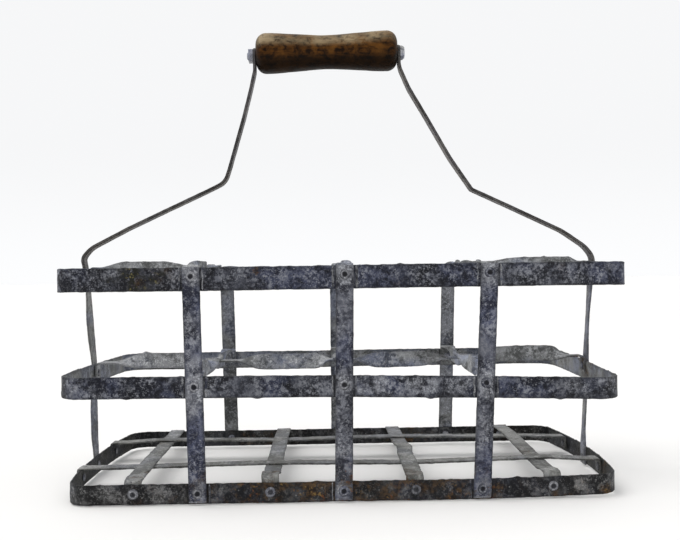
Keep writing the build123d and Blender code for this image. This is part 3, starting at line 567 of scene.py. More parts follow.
def wood(name):
    g = Graph(name)
    along = g.mapped((0.10, 1.0, 1.0))
    grain = g.noise(420, 6, 0.62, 0.6, co=along)
    fibre = g.noise(1500, 4, 0.6, 0.2, co=g.mapped((0.05, 1.0, 1.0), (0.3, 0.1, 0.2)))
    cloud = g.noise(60, 5, 0.6, 0.5)
    spot = g.noise(210, 6, 0.66, 0.4)
    # on the grip the zinc mask marks the upper side: wear and painted highlight
    top = g.attr("zinc")
    low = g.attr("dark")
    rim = g.attr("edge")
    m = g.math("ADD", g.math("MULTIPLY", grain, 0.4), g.math("MULTIPLY", spot, 0.6))
    col = g.mix(g.span(m, 0.42, 0.58), (0.009, 0.0033, 0.0007), (0.070, 0.0265, 0.0045))
    col = g.mix(g.math("MULTIPLY", g.span(cloud, 0.48, 0.64), 0.60), col, (0.150, 0.060, 0.0105))
    # lighter tan on the upper side: partly wear from hands, partly a painted highlight
    w = g.math("MULTIPLY", top, g.span(g.math("ADD", g.math("MULTIPLY", spot, 0.6), g.math("MULTIPLY", fibre, 0.4)), 0.36, 0.54, 0.30, 1.0))
    col = g.mix(g.math("MULTIPLY", g.span(w, 0.02, 0.95), 0.92), col, (0.34, 0.262, 0.155))
    col = g.mix(g.math("MULTIPLY", g.span(fibre, 0.54, 0.68), 0.45), col, (0.010, 0.005, 0.0018))
    # painted shade: near-black on the underside
    col = g.mix(g.math("MULTIPLY", low, 0.88), col, (0.0022, 0.0010, 0.0003))
    col = g.mix(g.math("MULTIPLY", rim, g.span(spot, 0.38, 0.55, 0.6, 0.95)), col, (0.007, 0.005, 0.0035))
    rough = g.span(m, 0.36, 0.62, 0.36, 0.56)
    h = g.math("ADD", g.math("MULTIPLY", fibre, 0.6), g.math("MULTIPLY", spot, 0.5))
    h = g.math("ADD", h, g.math("MULTIPLY", grain, 0.4))
    return g.finish(col, rough, g.bump(h, 0.45, 0.0006), 0.0, 0.07)


grip_wood = wood("grip_wood")

# ------------------------------------------------------------------ hoops
STEP = 1.5


def hoop_line(h, corner=CORNER_R):
    ins = HOOP_T / 2
    hx, hy, b = h["hx"] - ins, h["hy"] - ins, h["bow"]
    rad = (hy * hy + b * b) / (2 * b)

    def bx(y):
        return hx + b - rad + math.sqrt(rad * rad - y * y)

    ys = (-62, -38, -14, 14, 38, 62)
    pts = [(0, -hy), (hx, -hy)] + [(bx(y), y) for y in ys] + [(hx, hy), (-hx, hy)] + [(-bx(y), y) for y in reversed(ys)] + [(-hx, -hy), (0, -hy)]
    r = corner - ins
    radii = [r] + [400.0] * 6 + [r, r] + [400.0] * 6 + [r]
    return rounded(pts, radii, STEP)[:-1]


def middle_droop(x, y):
    """The middle hoop has sunk towards the right end on the front."""
    f = smooth(1.0, -1.0, np.asarray(y) / 99.0)
    d = np.interp(x, [-195, -150, 0, 100, 185, 200], [1.1, 0.8, -0.4, -2.4, -4.9, -5.0])
    return f * d


def left_shift(x, y):
    """The front left corner of the bottom hoop is pulled outwards a little."""
    return 2.0 * smooth(-150.0, -188.0, x) * smooth(20.0, -90.0, y)


def bottom_lift(x, y):
    """The bottom hoop and the base rise towards the front right corner and the back."""
    front = np.interp(x, [-200, 100, 130, 165, 185, 200], [0, 0, 0.5, 1.3, 1.8, 1.9])
    w = smooth(1.0, -1.0, np.asarray(y, float) / 97.5)
    return front * w + 1.2 * (1 - w)


HOOP_LOOK = {"top": hoop_zinc, "mid": hoop_zinc, "bot": low_zinc}
for i, (k, h) in enumerate(LEVELS.items()):
    L = hoop_line(h, {"top": 12.5, "mid": 19.0, "bot": 16.0}[k])
    if k == "mid":
        L[:, 0] -= np.interp(L[:, 0], [-190, 190], [3.3, 0.6]) * smooth(40.0, -90.0, L[:, 1])
    if k == "bot":
        L[:, 0] -= left_shift(L[:, 0], L[:, 1])
    P = np.column_stack([L, np.full(len(L), (h["z0"] + h["z1"]) / 2)])
    T = tangents(P, True)
    N = np.column_stack([T[:, 1], -T[:, 0], np.zeros(len(P))])
    if k == "mid":
        P[:, 2] += middle_droop(P[:, 0], P[:, 1])
    if k == "bot":
        P[:, 2] += bottom_lift(P[:, 0], P[:, 1]) + 0.25
    P[:, 2] += (0.35 if k != "bot" else 0.2) * vnoise(P, 60.0, 5 + i)
    X, F, A = strip(P, np.array([0, 0, 1.0]), N, h["z1"] - h["z0"], HOOP_T, closed=True, seed=11 + 10 * i,
                    bend=0.30, rough=0.12, rag=0.34, blob=0.7, k=10, rag_low=0.14)
    # painted shadow beside each strap where it laps the hoop, and painted shade in a dark line along the lower edge
    zrel = (X[:, 2] - h["z0"]) / (h["z1"] - h["z0"])
    dk = 0.5 * smooth(0.10, 0.0, zrel) * A["side"]
    for s in STRAPS:
        for sg in (-1, 1):
            dx = np.abs(X[:, 0] - strap_x(s, X[:, 2], sg))
            gap = np.exp(-((dx - STRIP_W / 2 - 0.6) / 0.9) ** 2) * (sg * X[:, 1] > h["hy"] - 3)
            dk = np.maximum(dk, 0.95 * gap)
    A["dark"] = np.clip(dk * (0.8 + 0.4 * vnoise(X, 3.0, 44)), 0, 1)
    nm = LEVEL_NAME[k] + "_hoop"
    build(nm + "_strip", [(X, F, A)], HOOP_LOOK[k], "crate", [nm])

# ------------------------------------------------------------------ upright straps
t = STRIP_T
for name in STRAPS:
    for sg, where in ((-1, "front"), (1, "back")):
        yt, ym, yb = TOP["hy"] + t / 2, MID["hy"] + t / 2, BOT["hy"] + t / 2
        pts = [(sg * yt, STRAP_TOP_Z), (sg * yt, TOP["z0"] - 1.5), (sg * ym, MID["z1"] + 1.5), (sg * ym, MID["z0"] - 1.5),
               (sg * yb, BOT["z1"] + 1.5), (sg * yb, STRAP_FOOT_Z)]
        L = rounded(pts, [20, 20, 20, 20], STEP)
        P = np.column_stack([strap_x(name, L[:, 1], sg), L])
        T = tangents(np.column_stack([np.zeros(len(L)), L]))
        N = np.column_stack([np.zeros(len(L)), sg * -T[:, 2], sg * T[:, 1]])
        seed = 60 + 7 * STRAPS.index(name) + (3 if sg > 0 else 0)
        X, F, A = strip(P, np.array([-sg * 1.0, 0, 0]), N, STRIP_W, t, seed=seed, bend=0.12, rough=0.09, rag=0.13, blob=0.25, k=8)
        X[:, 2] = np.maximum(X[:, 2], 0.0)
        zin = np.zeros(len(X))
        zin = np.maximum(zin, 0.55 * smooth(160.5, 163.4, X[:, 2]) * A["side"])      # bright run at the top cut
        zin = np.maximum(zin, 0.95 * smooth(3.3, 2.2, X[:, 2]) * (vnoise(X, 5.0, 92) > -0.45))       # and along the cut foot
        A["zinc"] = zin
        # a darker band where the strap meets the bottom hoop's top edge, and painted shadow along both long edges of
        # the outer face
        dk = 0.35 * smooth(3.5, 0.8, np.abs(X[:, 2] - 13.5)) * A["side"] * (vnoise(X, 4, 90) > -0.2)
        dk = np.maximum(dk, 0.45 * smooth(0.5, 1.0, A["edge"]) * (0.5 + 0.5 * vnoise(X, 7, 91)) * A["side"])
        A["dark"] = np.clip(dk, 0, 1)
        nm = f"{where}_strap_{name}"
        build(nm + "_strip", [(X, F, A)], strap_zinc, "crate", [nm])

FOOT_IN_X = BOT["hx"] + BOT["bow"] - HOOP_T - 0.1 - t / 2
for sg, side in ((-1, "left"), (1, "right")):
    xt, xm, xb = (h["hx"] + h["bow"] + END_TOUCH + t / 2 for h in (TOP, MID, BOT))
    if sg > 0:
        xb = FOOT_IN_X
    pts = [(sg * xt, STRAP_TOP_Z), (sg * xt, TOP["z0"] - 1.5), (sg * xm, MID["z1"] + 1.5), (sg * xm, MID["z0"] - 1.5),
           (sg * xb, BOT["z1"] + 1.5), (sg * xb, STRAP_FOOT_Z)]
    L = rounded(pts, [20, 20, 20, 20], STEP)
    P = np.column_stack([L[:, 0], np.zeros(len(L)), L[:, 1]])
    T = tangents(P)
    # between the hoops the strap bulges and turns a few degrees
    free = smooth(148, 122, P[:, 2]) * smooth(87, 113, P[:, 2]) + smooth(74, 54, P[:, 2]) * smooth(14, 34, P[:, 2])
    P[:, 0] -= (0.7 if sg < 0 else 0.3) * free
    N = np.column_stack([sg * -T[:, 2], np.zeros(len(L)), sg * T[:, 0]])
    W = np.broadcast_to(np.array([0, sg * 1.0, 0]), P.shape)
    a = (np.radians(7.0) * free)[:, None]
    W, N = W * np.cos(a) + N * np.sin(a), N * np.cos(a) - W * np.sin(a)
    X, F, A = strip(P, W, N, STRIP_W, t, seed=110 + 5 * sg, bend=0.12, rough=0.09, rag=0.14, blob=0.3, k=8)
    nm = f"end_strap_{side}"
    build(nm + "_strip", [(X, F, A)], end_zinc, "crate", [nm])


# ------------------------------------------------------------------ twisted dividers
def divider(axis, crossings, end, across, z, hand, shape, seed, skew=(0.0, 0.0), near=9.0):
    zs, rise = z, shape["rise"]
    pts = [(-(end - t / 2), zs - TAB_LEN), (-(end - t / 2), zs + rise), (end - t / 2, zs + rise), (end - t / 2, zs - TAB_LEN)]
    r = 2.6 if axis == "x" else 1.9
    L = rounded(pts, [r, r], STEP)
    s = L[:, 0]
    stops = [-end + near] + list(crossings) + [end - near]
    lead = 3.0 if near > 5 else 0.0
    before = [lead] + [f[0] for f in shape["flats"]] + [lead]
    after = [lead] + [f[1] for f in shape["flats"]] + [lead]
    ang = np.zeros(len(L))
    top = L[:, 1] > zs + rise - 0.01
    knots = [(-end, rise)]
    for i, (ta, tb, lift) in enumerate(shape["bays"]):
        a, b = stops[i] + after[i], stops[i + 1] - before[i + 1]
        inside = (s > a) & (s < b) & top
        q = 90.0 * hand[i]
        jit = 4.0 * math.sin(seed * 1.7 + i * 2.3)
        up = smooth(0, ta, s - a) * smooth(0, tb, b - s)
        ang[inside] = (q + jit) * up[inside]
        last = rise if i == len(shape["bays"]) - 1 else 0.0
        knots += [(a, rise if i == 0 else 0.0), (a + ta, lift), (b - tb, lift), (b, last)]
    knots.append((end, rise))
    kx, kz = np.array(knots).T
    # smooth steps between the levels
    j = np.clip(np.searchsorted(kx, s) - 1, 0, len(kx) - 2)
    u = np.clip((s - kx[j]) / np.maximum(kx[j + 1] - kx[j], 1e-6), 0, 1)
    dz = kz[j] + (kz[j + 1] - kz[j]) * (1 - np.cos(np.pi * u)) / 2 - rise
    L = L.copy()
    L[:, 1] += np.where(top, dz, 0.0)
    wob = vnoise(np.column_stack([s, s * 0, s * 0]), 42.0, seed) * 0.9 * smooth(0, 20, end - np.abs(s))
    if axis == "x":
        P = np.column_stack([s, across + wob, L[:, 1]])
        Wd = np.array([0, 1.0, 0])
    else:
        P = np.column_stack([across + wob + skew[0] + (skew[1] - skew[0]) * (s + end) / (2 * end), s, L[:, 1]])
        Wd = np.array([1.0, 0, 0])
    on = np.abs(ang) > 8
    P[:, 2] += 0.45 * vnoise(np.column_stack([s, s * 0 + 3, s * 0]), 30.0, seed + 1) * on
    T2 = tangents(L)
    if axis == "x":
        T = np.column_stack([T2[:, 0], np.zeros(len(L)), T2[:, 1]])
    else:
        T = np.column_stack([np.zeros(len(L)), T2[:, 0], T2[:, 1]])
    W0 = np.broadcast_to(Wd, P.shape)
    N0 = np.cross(T, W0)
    if axis == "y":
        N0 = -N0
    if N0[len(N0) // 2, 2] < 0:
        N0 = -N0
    a = np.radians(ang)[:, None]
    # turn width and face directions about the run
    W = W0 * np.cos(a) + np.cross(T, W0) * np.sin(a)
    N = N0 * np.cos(a) + np.cross(T, N0) * np.sin(a)
    return P, W, N


SIDE_IN = {"top": TOP["hy"] - HOOP_T, "mid": MID["hy"] - HOOP_T}
END_IN = {k: LEVELS[k]["hx"] + LEVELS[k]["bow"] - HOOP_T - 0.05 for k in ("top", "mid")}
for k in ("top", "mid"):
    zr = RIVET_Z[k]
    xs = [divider_x(s, zr) for s in STRAPS]
    sd = 200 if k == "top" else 260
    P, W, N = divider("x", xs, END_IN[k], 0.0, DIV_Z[k] - t / 2, HANDS_X[k], LONG_SHAPE[k], sd, near=4.5 if k == "top" else 9.0)
    part = strip(P, W, N, STRIP_W, t, seed=sd, bend=0.10, rough=0.12, rag=0.20, blob=0.4, k=8)
    nm = f"{LEVEL_NAME[k]}_long_divider"
    build(nm + "_strip", [part], div_zinc, "crate", [nm], both=True)
    for j, (s, x) in enumerate(zip(STRAPS, xs)):
        shape = dict(bays=[(TWIST, TWIST, lift) for lift in CROSS_LIFT[k][s]], flats=[(FLAT_HALF, FLAT_HALF)], rise=-1.2 if k == "top" else 0.0)
        skew = (strap_x(s, zr, -1) - x, strap_x(s, zr, 1) - x)
        P, W, N = divider("y", [0.0], SIDE_IN[k], x, DIV_Z[k] + t / 2, HANDS_Y[k][s], shape, sd + 9 + j, skew)
        part = strip(P, W, N, STRIP_W, t, seed=sd + 9 + 5 * j, bend=0.10, rough=0.12, rag=0.20, blob=0.4, k=8)
        nm = f"{LEVEL_NAME[k]}_cross_divider_{s}"
        build(nm + "_strip", [part], div_zinc, "crate", [nm], both=True)


# ------------------------------------------------------------------ woven base
def over(i, j):
    return (i + j) % 2 == 1


HI, LO = BASE_Z + t / 2, BASE_Z - t / 2
EDGE = BOT["z1"] + t / 2


def arc_x(h, y):
    rad = (h["hy"] ** 2 + h["bow"] ** 2) / (2 * h["bow"])
    return h["hx"] + h["bow"] - rad + math.sqrt(rad * rad - y * y)


for i, x in enumerate(BASE_CROSS_X):
    yi, yo = BOT["hy"] - HOOP_T - t / 2, BOT["hy"] + t / 2
    za, zb = (LO if over(i, 0) else HI), (LO if over(i, 1) else HI)
    hump = BASE_HUMP_Z[i]
    pts = [(-yi, 3.2), (-yi, hump), (-yi + 9.0, hump), (-yi + 22.0, za),
           (BASE_LONG_Y["front"] + FLATW, za), (BASE_LONG_Y["rear"] - FLATW, zb),
           (BASE_LONG_Y["rear"] + FLATW, zb), (yo - 9.0, EDGE), (yo, EDGE), (yo, 3.6)]
    L = rounded(pts, [3.0, 6.0, 12.0, 40.0, 40.0, 12.0, 12.0, 0.9], STEP)
    P = np.column_stack([np.full(len(L), x), L])
    P[:, 0] += 0.5 * vnoise(P, 70.0, 300 + i) + np.interp(P[:, 1], [-97, 97], BASE_SLANT[i])
    if i == 2:
        # a kink half way back
        P[:, 0] += 1.6 * np.exp(-((P[:, 1] - 2.0) / 16.0) ** 2)
        P[:, 2] += 1.3 * np.exp(-((P[:, 1] - 4.0) / 9.0) ** 2)
    P[:, 2] += bottom_lift(P[:, 0], P[:, 1])
    T = tangents(np.column_stack([np.zeros(len(L)), L]))
    N = np.column_stack([np.zeros(len(L)), -T[:, 2], T[:, 1]])
    X, F, A = strip(P, np.array([-1.0, 0, 0]) * -1, N, STRIP_W, t, seed=300 + 5 * i, bend=0.12, rough=0.12, rag=0.30, blob=0.6, k=8)
    nm = f"base_cross_strip_{i + 1}"
    build(nm + "_strip", [(X, F, A)], base_zinc, "crate", [nm])

def long_in_x(y):
    return arc_x(BOT, abs(y) + STRIP_W / 2) - HOOP_T - 0.12 - t / 2


for j, (name, y) in enumerate(BASE_LONG_Y.items()):
    xo = arc_x(BOT, abs(y) - STRIP_W / 2) + END_TOUCH + t / 2
    pts, radii = [(-xo, 3.6), (-xo, EDGE), (-xo + 10.0, EDGE)], [0.9, 12.0]
    for i, x in enumerate(BASE_CROSS_X):
        z = HI if over(i, j) else LO
        pts += [(x - FLATW, z), (x + FLATW, z)]
        radii += [25.0, 25.0]
    xi = long_in_x(y)
    pts += [(xi - 10.0, DIP_Z), (xi, DIP_Z), (xi, 3.6)]
    radii += [12.0, 1.9]
    L = rounded(pts, radii, STEP)
    P = np.column_stack([L[:, 0], np.full(len(L), y), L[:, 1]])
    P[:, 0] -= left_shift(P[:, 0], P[:, 1])
    P[:, 2] += bottom_lift(P[:, 0], P[:, 1])
    T = tangents(P)
    N = np.column_stack([-T[:, 2], np.zeros(len(L)), T[:, 0]])
    X, F, A = strip(P, np.array([0, -1.0, 0]), N, STRIP_W, t, seed=340 + 5 * j, bend=0.15, rough=0.12, rag=0.30, blob=0.6, k=8)
    nm = f"base_long_strip_{name}"
    build(nm + "_strip", [(X, F, A)], base_zinc, "crate", [nm])


# ------------------------------------------------------------------ rivets
def lathe(origin, zdir, prof, marks, seg=28, seed=1, rough=0.06):
    """Turned solid round zdir. prof is (radius, height) from the middle of the head down to the middle of the tail."""
    z = Vector(zdir).normalized()
    x = z.orthogonal().normalized()
    y = z.cross(x)
    o, zz, xx, yy = (np.array(v) for v in (origin, z, x, y))
    V, A = [], {"zinc": [], "dark": [], "side": [], "edge": []}
    for (r, hgt), (zn, dk) in zip(prof, marks):
        for i in range(seg):
            a = 2 * math.pi * i / seg
            V.append(o + zz * hgt + (xx * math.cos(a) + yy * math.sin(a)) * r)
            A["zinc"].append(zn)
            A["dark"].append(dk)
            A["side"].append(1.0)
            A["edge"].append(0.0)
    V = np.array(V)
    n = len(prof)
    d = rough * fbm(V, 1.6, seed, 2)
    rad = V - (o + np.outer((V - o) @ zz, zz))
    ln = np.linalg.norm(rad, axis=1)[:, None]
    V = V + np.where(ln > 1e-6, rad / np.maximum(ln, 1e-6), 0) * (d * 2.2)[:, None] * (ln > 2.0) + np.outer(d, zz)
    F = []
    for i in range(n - 1):
        for j in range(seg):
            j2 = (j + 1) % seg
            F.append((i * seg + j, (i + 1) * seg + j, (i + 1) * seg + j2, i * seg + j2))
    F.append(tuple(range(seg)))
    F.append(tuple(reversed(range((n - 1) * seg, n * seg))))
    return V, F, {kk: np.array(v) for kk, v in A.items()}


def rivet(point, outward, grip, seed, dim=1.0, bright=1.0):
    h, r = 0.9, 3.3
    prof = [(0.35, h - 0.50), (0.9, h - 0.49), (1.5, h - 0.44), (1.85, h - 0.12), (2.1, h), (2.4, h - 0.03), (2.75, h - 0.16),
            (3.1, h - 0.42), (r + 0.25, 0.10), (r + 0.5, -0.05), (1.6, -0.12), (1.6, -grip + 0.1), (2.9, -grip - 0.02),
            (2.85, -grip - 0.35), (2.4, -grip - 0.72), (1.2, -grip - 0.80), (0.3, -grip - 0.80)]
    b = bright
    # marks down the profile: a darker middle, a lighter ring on the dome that is a painted highlight scaled by bright,
    # darker under the head
    mk = [(0, 0.95), (0, 0.92), (0, 0.82), (0.3 * b, 0.35), (0.8 * b, 0), (0.75 * b, 0), (0.6 * b, 0), (0.5 * b, 0.1), (0.4 * b, 0.25), (0.3 * b, 0.3),
          (0, 1), (0, 1), (0.2, 0.4), (0.3, 0), (0.4, 0), (0.4, 0), (0.4, 0)]
    mk = [(zn, dk * dim) for zn, dk in mk]
    return lathe(point, outward, prof, mk, seed=seed)


for k, h in LEVELS.items():
    z = RIVET_Z[k]
    grip = t + HOOP_T + (t if k != "bot" else 0.0)
    parts = []
    for i, s in enumerate(STRAPS):
        for sg in (-1, 1):
            # painted highlight: how strongly each rivet head's ring is lightened, most on the left
            lit = {("top", "left"): 1.1, ("mid", "left"): 1.1, ("top", "centre"): 0.6, ("mid", "centre"): 0.8, ("top", "right"): 0.35,
                   ("mid", "right"): 0.5, ("bot", "left"): 0.75}.get((k, s), 0.5)
            x = strap_x(s, z, sg)
            dz = float(bottom_lift(x, sg * h["hy"])) if k == "bot" else 0.0
            parts.append(rivet((x, sg * (h["hy"] + t), z + dz), (0, sg, 0), grip, 400 + 7 * i + sg, bright=lit))
    nm = f"{LEVEL_NAME[k]}_hoop_rivets"
    build(nm + "_heads", parts, rivet_zinc, "crate", [nm], marks=False)

parts = []
for k in ("mid", "bot"):
    h = LEVELS[k]
    face = h["hx"] + h["bow"] + END_TOUCH + t
    grip = t + END_TOUCH + HOOP_T + (t + 0.05 if k == "mid" else 0.03)
    for sg in (-1, 1):
        if k == "bot" and sg > 0:
            out = h["hx"] + h["bow"] + END_TOUCH
            parts.append(rivet((out, 0, RIVET_Z[k]), (1, 0, 0), out - FOOT_IN_X + t / 2 + 0.03, 433, 0.6))
        else:
            parts.append(rivet((sg * face, 0, RIVET_Z[k]), (sg, 0, 0), grip, 430 + sg, 0.6))
build("end_strap_rivet_heads", parts, rivet_zinc, "crate", ["end_strap_rivets"], marks=False)
for k in ("top", "mid"):
    parts = [rivet((divider_x(s, RIVET_Z[k]), 0, DIV_Z[k] + t), (0, 0, 1), 2 * t, 440 + i, 0.5) for i, s in enumerate(STRAPS)]
    build(f"{LEVEL_NAME[k]}_divider_rivet_heads", parts, rivet_zinc, "crate", [f"{LEVEL_NAME[k]}_divider_rivets"], marks=False)
parts = []
for i, x in enumerate(BASE_CROSS_X):
    xf, xr = x + BASE_SLANT[i][0], x + BASE_SLANT[i][1]
    # the last number sets the strength of the painted highlight on each front head
    parts.append(rivet((xf, -BOT["hy"], BASE_RIVET_Z + float(bottom_lift(xf, -97.5))), (0, -1, 0), HOOP_T + t, 450 + i, 0.8, (0.8, 0.15, 0.3, 0.7)[i]))
    parts.append(rivet((xr, BOT["hy"] + t, BASE_RIVET_Z + float(bottom_lift(xr, 97.5))), (0, 1, 0), HOOP_T + t, 455 + i, 0.8))
for y in BASE_LONG_Y.values():
    xo = arc_x(BOT, abs(y) - STRIP_W / 2) + END_TOUCH + t
    xin = arc_x(BOT, abs(y) + 2.9) - HOOP_T - 0.02
    zl, zr = (BASE_RIVET_Z + float(bottom_lift(sg * 196.0, y)) for sg in (-1, 1))
    parts.append(rivet((-xo - float(left_shift(-xo, y)), y, zl), (-1, 0, 0), xo - xin + 0.25, 469, 0.8))
    head = arc_x(BOT, abs(y) - 3.3) + 0.02
    parts.append(rivet((head, y, zr), (1, 0, 0), head - long_in_x(y) + t / 2 + 0.02, 471, 0.8))
build("base_strip_rivet_heads", parts, rivet_zinc, "crate", ["base_strip_rivets"], marks=False)

parts = []
for sg in (-1, 1):
    inner = TOP["hx"] + TOP["bow"] - HOOP_T - 0.05 - t
    a = HEAD_FACE - inner
    prof = [(0.3, 1.4), (1.6, 1.38), (2.8, 1.25), (3.5, 1.05), (4.3, 0.6), (4.6, 0.12), (4.5, 0.0), (2.42, -0.03), (2.42, -a),
            (4.0, -a - 0.02), (4.0, -a - 0.5), (3.2, -a - 1.15), (0.3, -a - 1.2)]
    mk = [(0.5, 0.2)] * 4 + [(0.3, 0.3)] * 3 + [(0, 0.8)] * 2 + [(0.4, 0.1)] * 4
    parts.append(lathe((sg * HEAD_FACE, 0, PIVOT_Z), (sg, 0, 0), prof, mk, seed=480 + sg))
build("bail_pivot_rivet_heads", parts, rivet_zinc, "crate", ["bail_pivot_rivets"], marks=False)


# ------------------------------------------------------------------ beads of zinc along the straps
def bead(x, y, z0, z1, r, seed, sg):
    """A run of zinc down the lap between a strap and a hoop."""
    n = max(6, int((z1 - z0) / 0.8))
    V, F, m = [], [], 8
    zz = np.linspace(z0, z1, n)
    base = np.column_stack([np.full(n, x), np.full(n, y), zz])
    wob = 0.45 * vnoise(base, 3.5, seed)
    rr = r * (0.85 + 0.55 * vnoise(base, 2.4, seed + 1)) * np.minimum(1, np.minimum(zz - z0 + 0.25, z1 - zz + 0.25) / 1.2)
    rr = np.maximum(rr, 0.08)
    for i in range(n):
        for j in range(m):
            a = 2 * math.pi * j / m
            V.append((x + wob[i] + 1.15 * rr[i] * math.cos(a), y + rr[i] * 0.8 * math.sin(a), zz[i]))
    for i in range(n - 1):
        for j in range(m):
            j2 = (j + 1) % m
            F.append((i * m + j, i * m + j2, (i + 1) * m + j2, (i + 1) * m + j))
    F.append(tuple(reversed(range(m))))
    F.append(tuple(range((n - 1) * m, n * m)))
    V = np.array(V, float)
    zn = np.clip(0.42 + 0.5 * vnoise(V, 4.0, seed + 2), 0, 1)
    return V, F, {"side": np.ones(len(V)), "zinc": zn, "dark": np.zeros(len(V))}


parts = []
BEADS = [  # strap, level, side of the strap (-1 left, 1 right), on front (-1) or back (1), radius
    ("left", "top", 1, -1, 0.8), ("left", "top", -1, -1, 0.4), ("centre", "top", -1, -1, 0.85), ("centre", "top", 1, -1, 0.9),
    ("right", "top", -1, -1, 0.55), ("right", "top", 1, -1, 0.75), ("left", "mid", 1, -1, 0.9), ("left", "mid", -1, -1, 0.6),
    ("centre", "mid", 1, -1, 0.75), ("centre", "mid", -1, -1, 0.6), ("right", "mid", 1, -1, 0.7), ("right", "mid", -1, -1, 0.6),
    ("left", "bot", 1, -1, 0.6), ("centre", "bot", -1, -1, 0.5), ("right", "bot", -1, -1, 0.6),
]
BEADS += [(s, k, d, 1, 0.6) for s in STRAPS for k in LEVELS for d in (-1, 1)]
for i, (s, k, d, sg, r) in enumerate(BEADS):
    h = LEVELS[k]
    x = strap_x(s, RIVET_Z[k], sg) + d * (STRIP_W / 2 + 1.9)
    dz = float(middle_droop(x, sg * h["hy"])) if k == "mid" else (float(bottom_lift(x, sg * h["hy"])) + 0.25 if k == "bot" else 0.0)
    parts.append(bead(x, sg * (h["hy"] + 0.1), h["z0"] + 0.8 + dz, h["z1"] - 0.3 + dz, r, 500 + 3 * i, sg))
bead_zinc = zinc("bead_zinc", ((0.020, 0.021, 0.026), (0.085, 0.088, 0.100)), ((0.06, 0.06, 0.06), (0.15, 0.15, 0.15)), (0.27, 0.275, 0.29), patchy=0.4, seed=5.2)
build("zinc_beads", parts, bead_zinc, "crate", [], marks=False)


# ------------------------------------------------------------------ bail arms
def grip_point(u, v=0.0):
    return (GRIP_MID[0] + u * CA - v * SA, GRIP_MID[1] + u * SA + v * CA)


half = GRIP_LEN / 2 + 0.3 + ARM_T / 2
left_pts = [
    (-ARM_X, PIVOT_Z - 6.0), (-ARM_X, 166.6), (-207.0, 173.6), (-200.6, 181.4), (-170.2, 197.0),
    (-132.9, 214.3), (-106.9, 226.2), (-91.8, 233.6), (-88.1, 244.6), (-76.2, 285.1), (-69.9, 309.5),
    grip_point(-half, -12.5), grip_point(-half, 6.0),
]
left_r = [14.0, 9.0, 30.0, 60.0, 60.0, 7.5, 18.0, 60.0, 60.0, 30.0, 20.0]
right_pts = [
    (ARM_X, PIVOT_Z - 6.0), (ARM_X, 169.6), (199.2, 177.8), (180.7, 190.7), (159.6, 200.8),
    (138.5, 210.9), (107.6, 225.4), (90.1, 251.4), (73.4, 281.3), (57.8, 308.1),
    grip_point(half, -12.0), grip_point(half, 6.0),
]
right_r = [12.0, 24.0, 50.0, 90.0, 90.0, 4.0, 90.0, 90.0, 60.0, 20.0]
for pts, radii, sg, side in ((left_pts, left_r, -1, "left"), (right_pts, right_r, 1, "right")):
    L = rounded(pts, radii, 1.2)
    P = np.column_stack([L[:, 0], np.zeros(len(L)), L[:, 1]])
    T = tangents(P)
    N = np.column_stack([sg * T[:, 2], np.zeros(len(L)), sg * -T[:, 0]])
    run = np.concatenate([[0], np.cumsum(np.linalg.norm(np.diff(P, axis=0), axis=1))])
    r = ARM_W / 2
    d = np.minimum(run, run[-1] - run)
    sw = np.sqrt(np.clip(1 - (1 - np.clip(d / r, 0, 1)) ** 2, 0.02, 1))
    X, F, A = strip(P, np.array([0, -sg * 1.0, 0]), N, ARM_W, ARM_T, seed=600 + sg, bend=0.0, rough=0.07, rag=0.12, blob=0.25, k=8, scale_w=sw)
    # painted shade: the rounded corners and outer face darkened round a light middle line on the narrow faces
    A["dark"] = np.interp(A["side"], [0, 0.3, 0.5, 0.7, 1.0], [0.10, 0.70, 0.0, 0.80, 0.60]) * (0.8 + 0.4 * vnoise(X, 9.0, 610)).clip(0, 1)
    nm = f"bail_arm_{side}"
    build(nm + "_strip", [(X, F, A)], bail_steel, "bail", [nm], marks=False)

# ------------------------------------------------------------------ turned grip
hl = GRIP_LEN / 2
prof_s = [-hl + 9.0, -hl + 26.0, 0.0, hl - 26.0, hl - 9.0]
prof_r = [GRIP_END_R, GRIP_END_R - 0.9, GRIP_WAIST_R, GRIP_END_R - 0.9, GRIP_END_R]


def grip_radius(s):
    """Profile of the turned grip: full ends, gentle waist."""
    a = abs(s)
    if a <= hl - 26.0:
        u = a / (hl - 26.0)
        return GRIP_WAIST_R + (GRIP_END_R - 0.9 - GRIP_WAIST_R) * (3 * u * u - 2 * u ** 3) * 0.55 + (GRIP_END_R - 0.9 - GRIP_WAIST_R) * u ** 1.6 * 0.45
    if a <= hl - 9.0:
        u = (a - (hl - 26.0)) / 17.0
        return GRIP_END_R - 0.9 + 0.9 * math.sin(u * math.pi / 2)
    return GRIP_END_R


rows = []   # (s, radius, centre height over the bolt axis, mark)
for i in range(71):
    s = -hl + 9.0 + (2 * hl - 18.0) * i / 70
    rows.append((s, grip_radius(s), GRIP_OFF))
cx, cr = hl - 9.0, 8.3
cap = []
# round shoulder, circle through (16.1, hl-9) and (9.1, hl)
p0, p1 = np.array([GRIP_END_R, hl - 9.0]), np.array([GRIP_END_R - 7.0, hl])
mid, dd = (p0 + p1) / 2, p1 - p0
hh = math.sqrt(cr * cr - (dd @ dd) / 4)
perp = np.array([dd[1], -dd[0]]) / np.linalg.norm(dd)
cc = mid - perp * hh
if cc[0] > mid[0]:
    cc = mid + perp * hh
a0, a1 = math.atan2(*(p0 - cc)[::-1]), math.atan2(*(p1 - cc)[::-1])
for i in range(1, 13):
    a = a0 + (a1 - a0) * i / 12
    cap.append((cc[1] + cr * math.sin(a), cc[0] + cr * math.cos(a), GRIP_OFF))
cap += [(hl, 7.5, GRIP_OFF * 0.8), (hl, 5.6, GRIP_OFF * 0.45), (hl - 0.05, 3.9, 0.1), (hl - 0.5, 3.35, 0.0), (hl - 3.0, 3.2, 0.0), (hl - 12.0, 3.15, 0.0)]
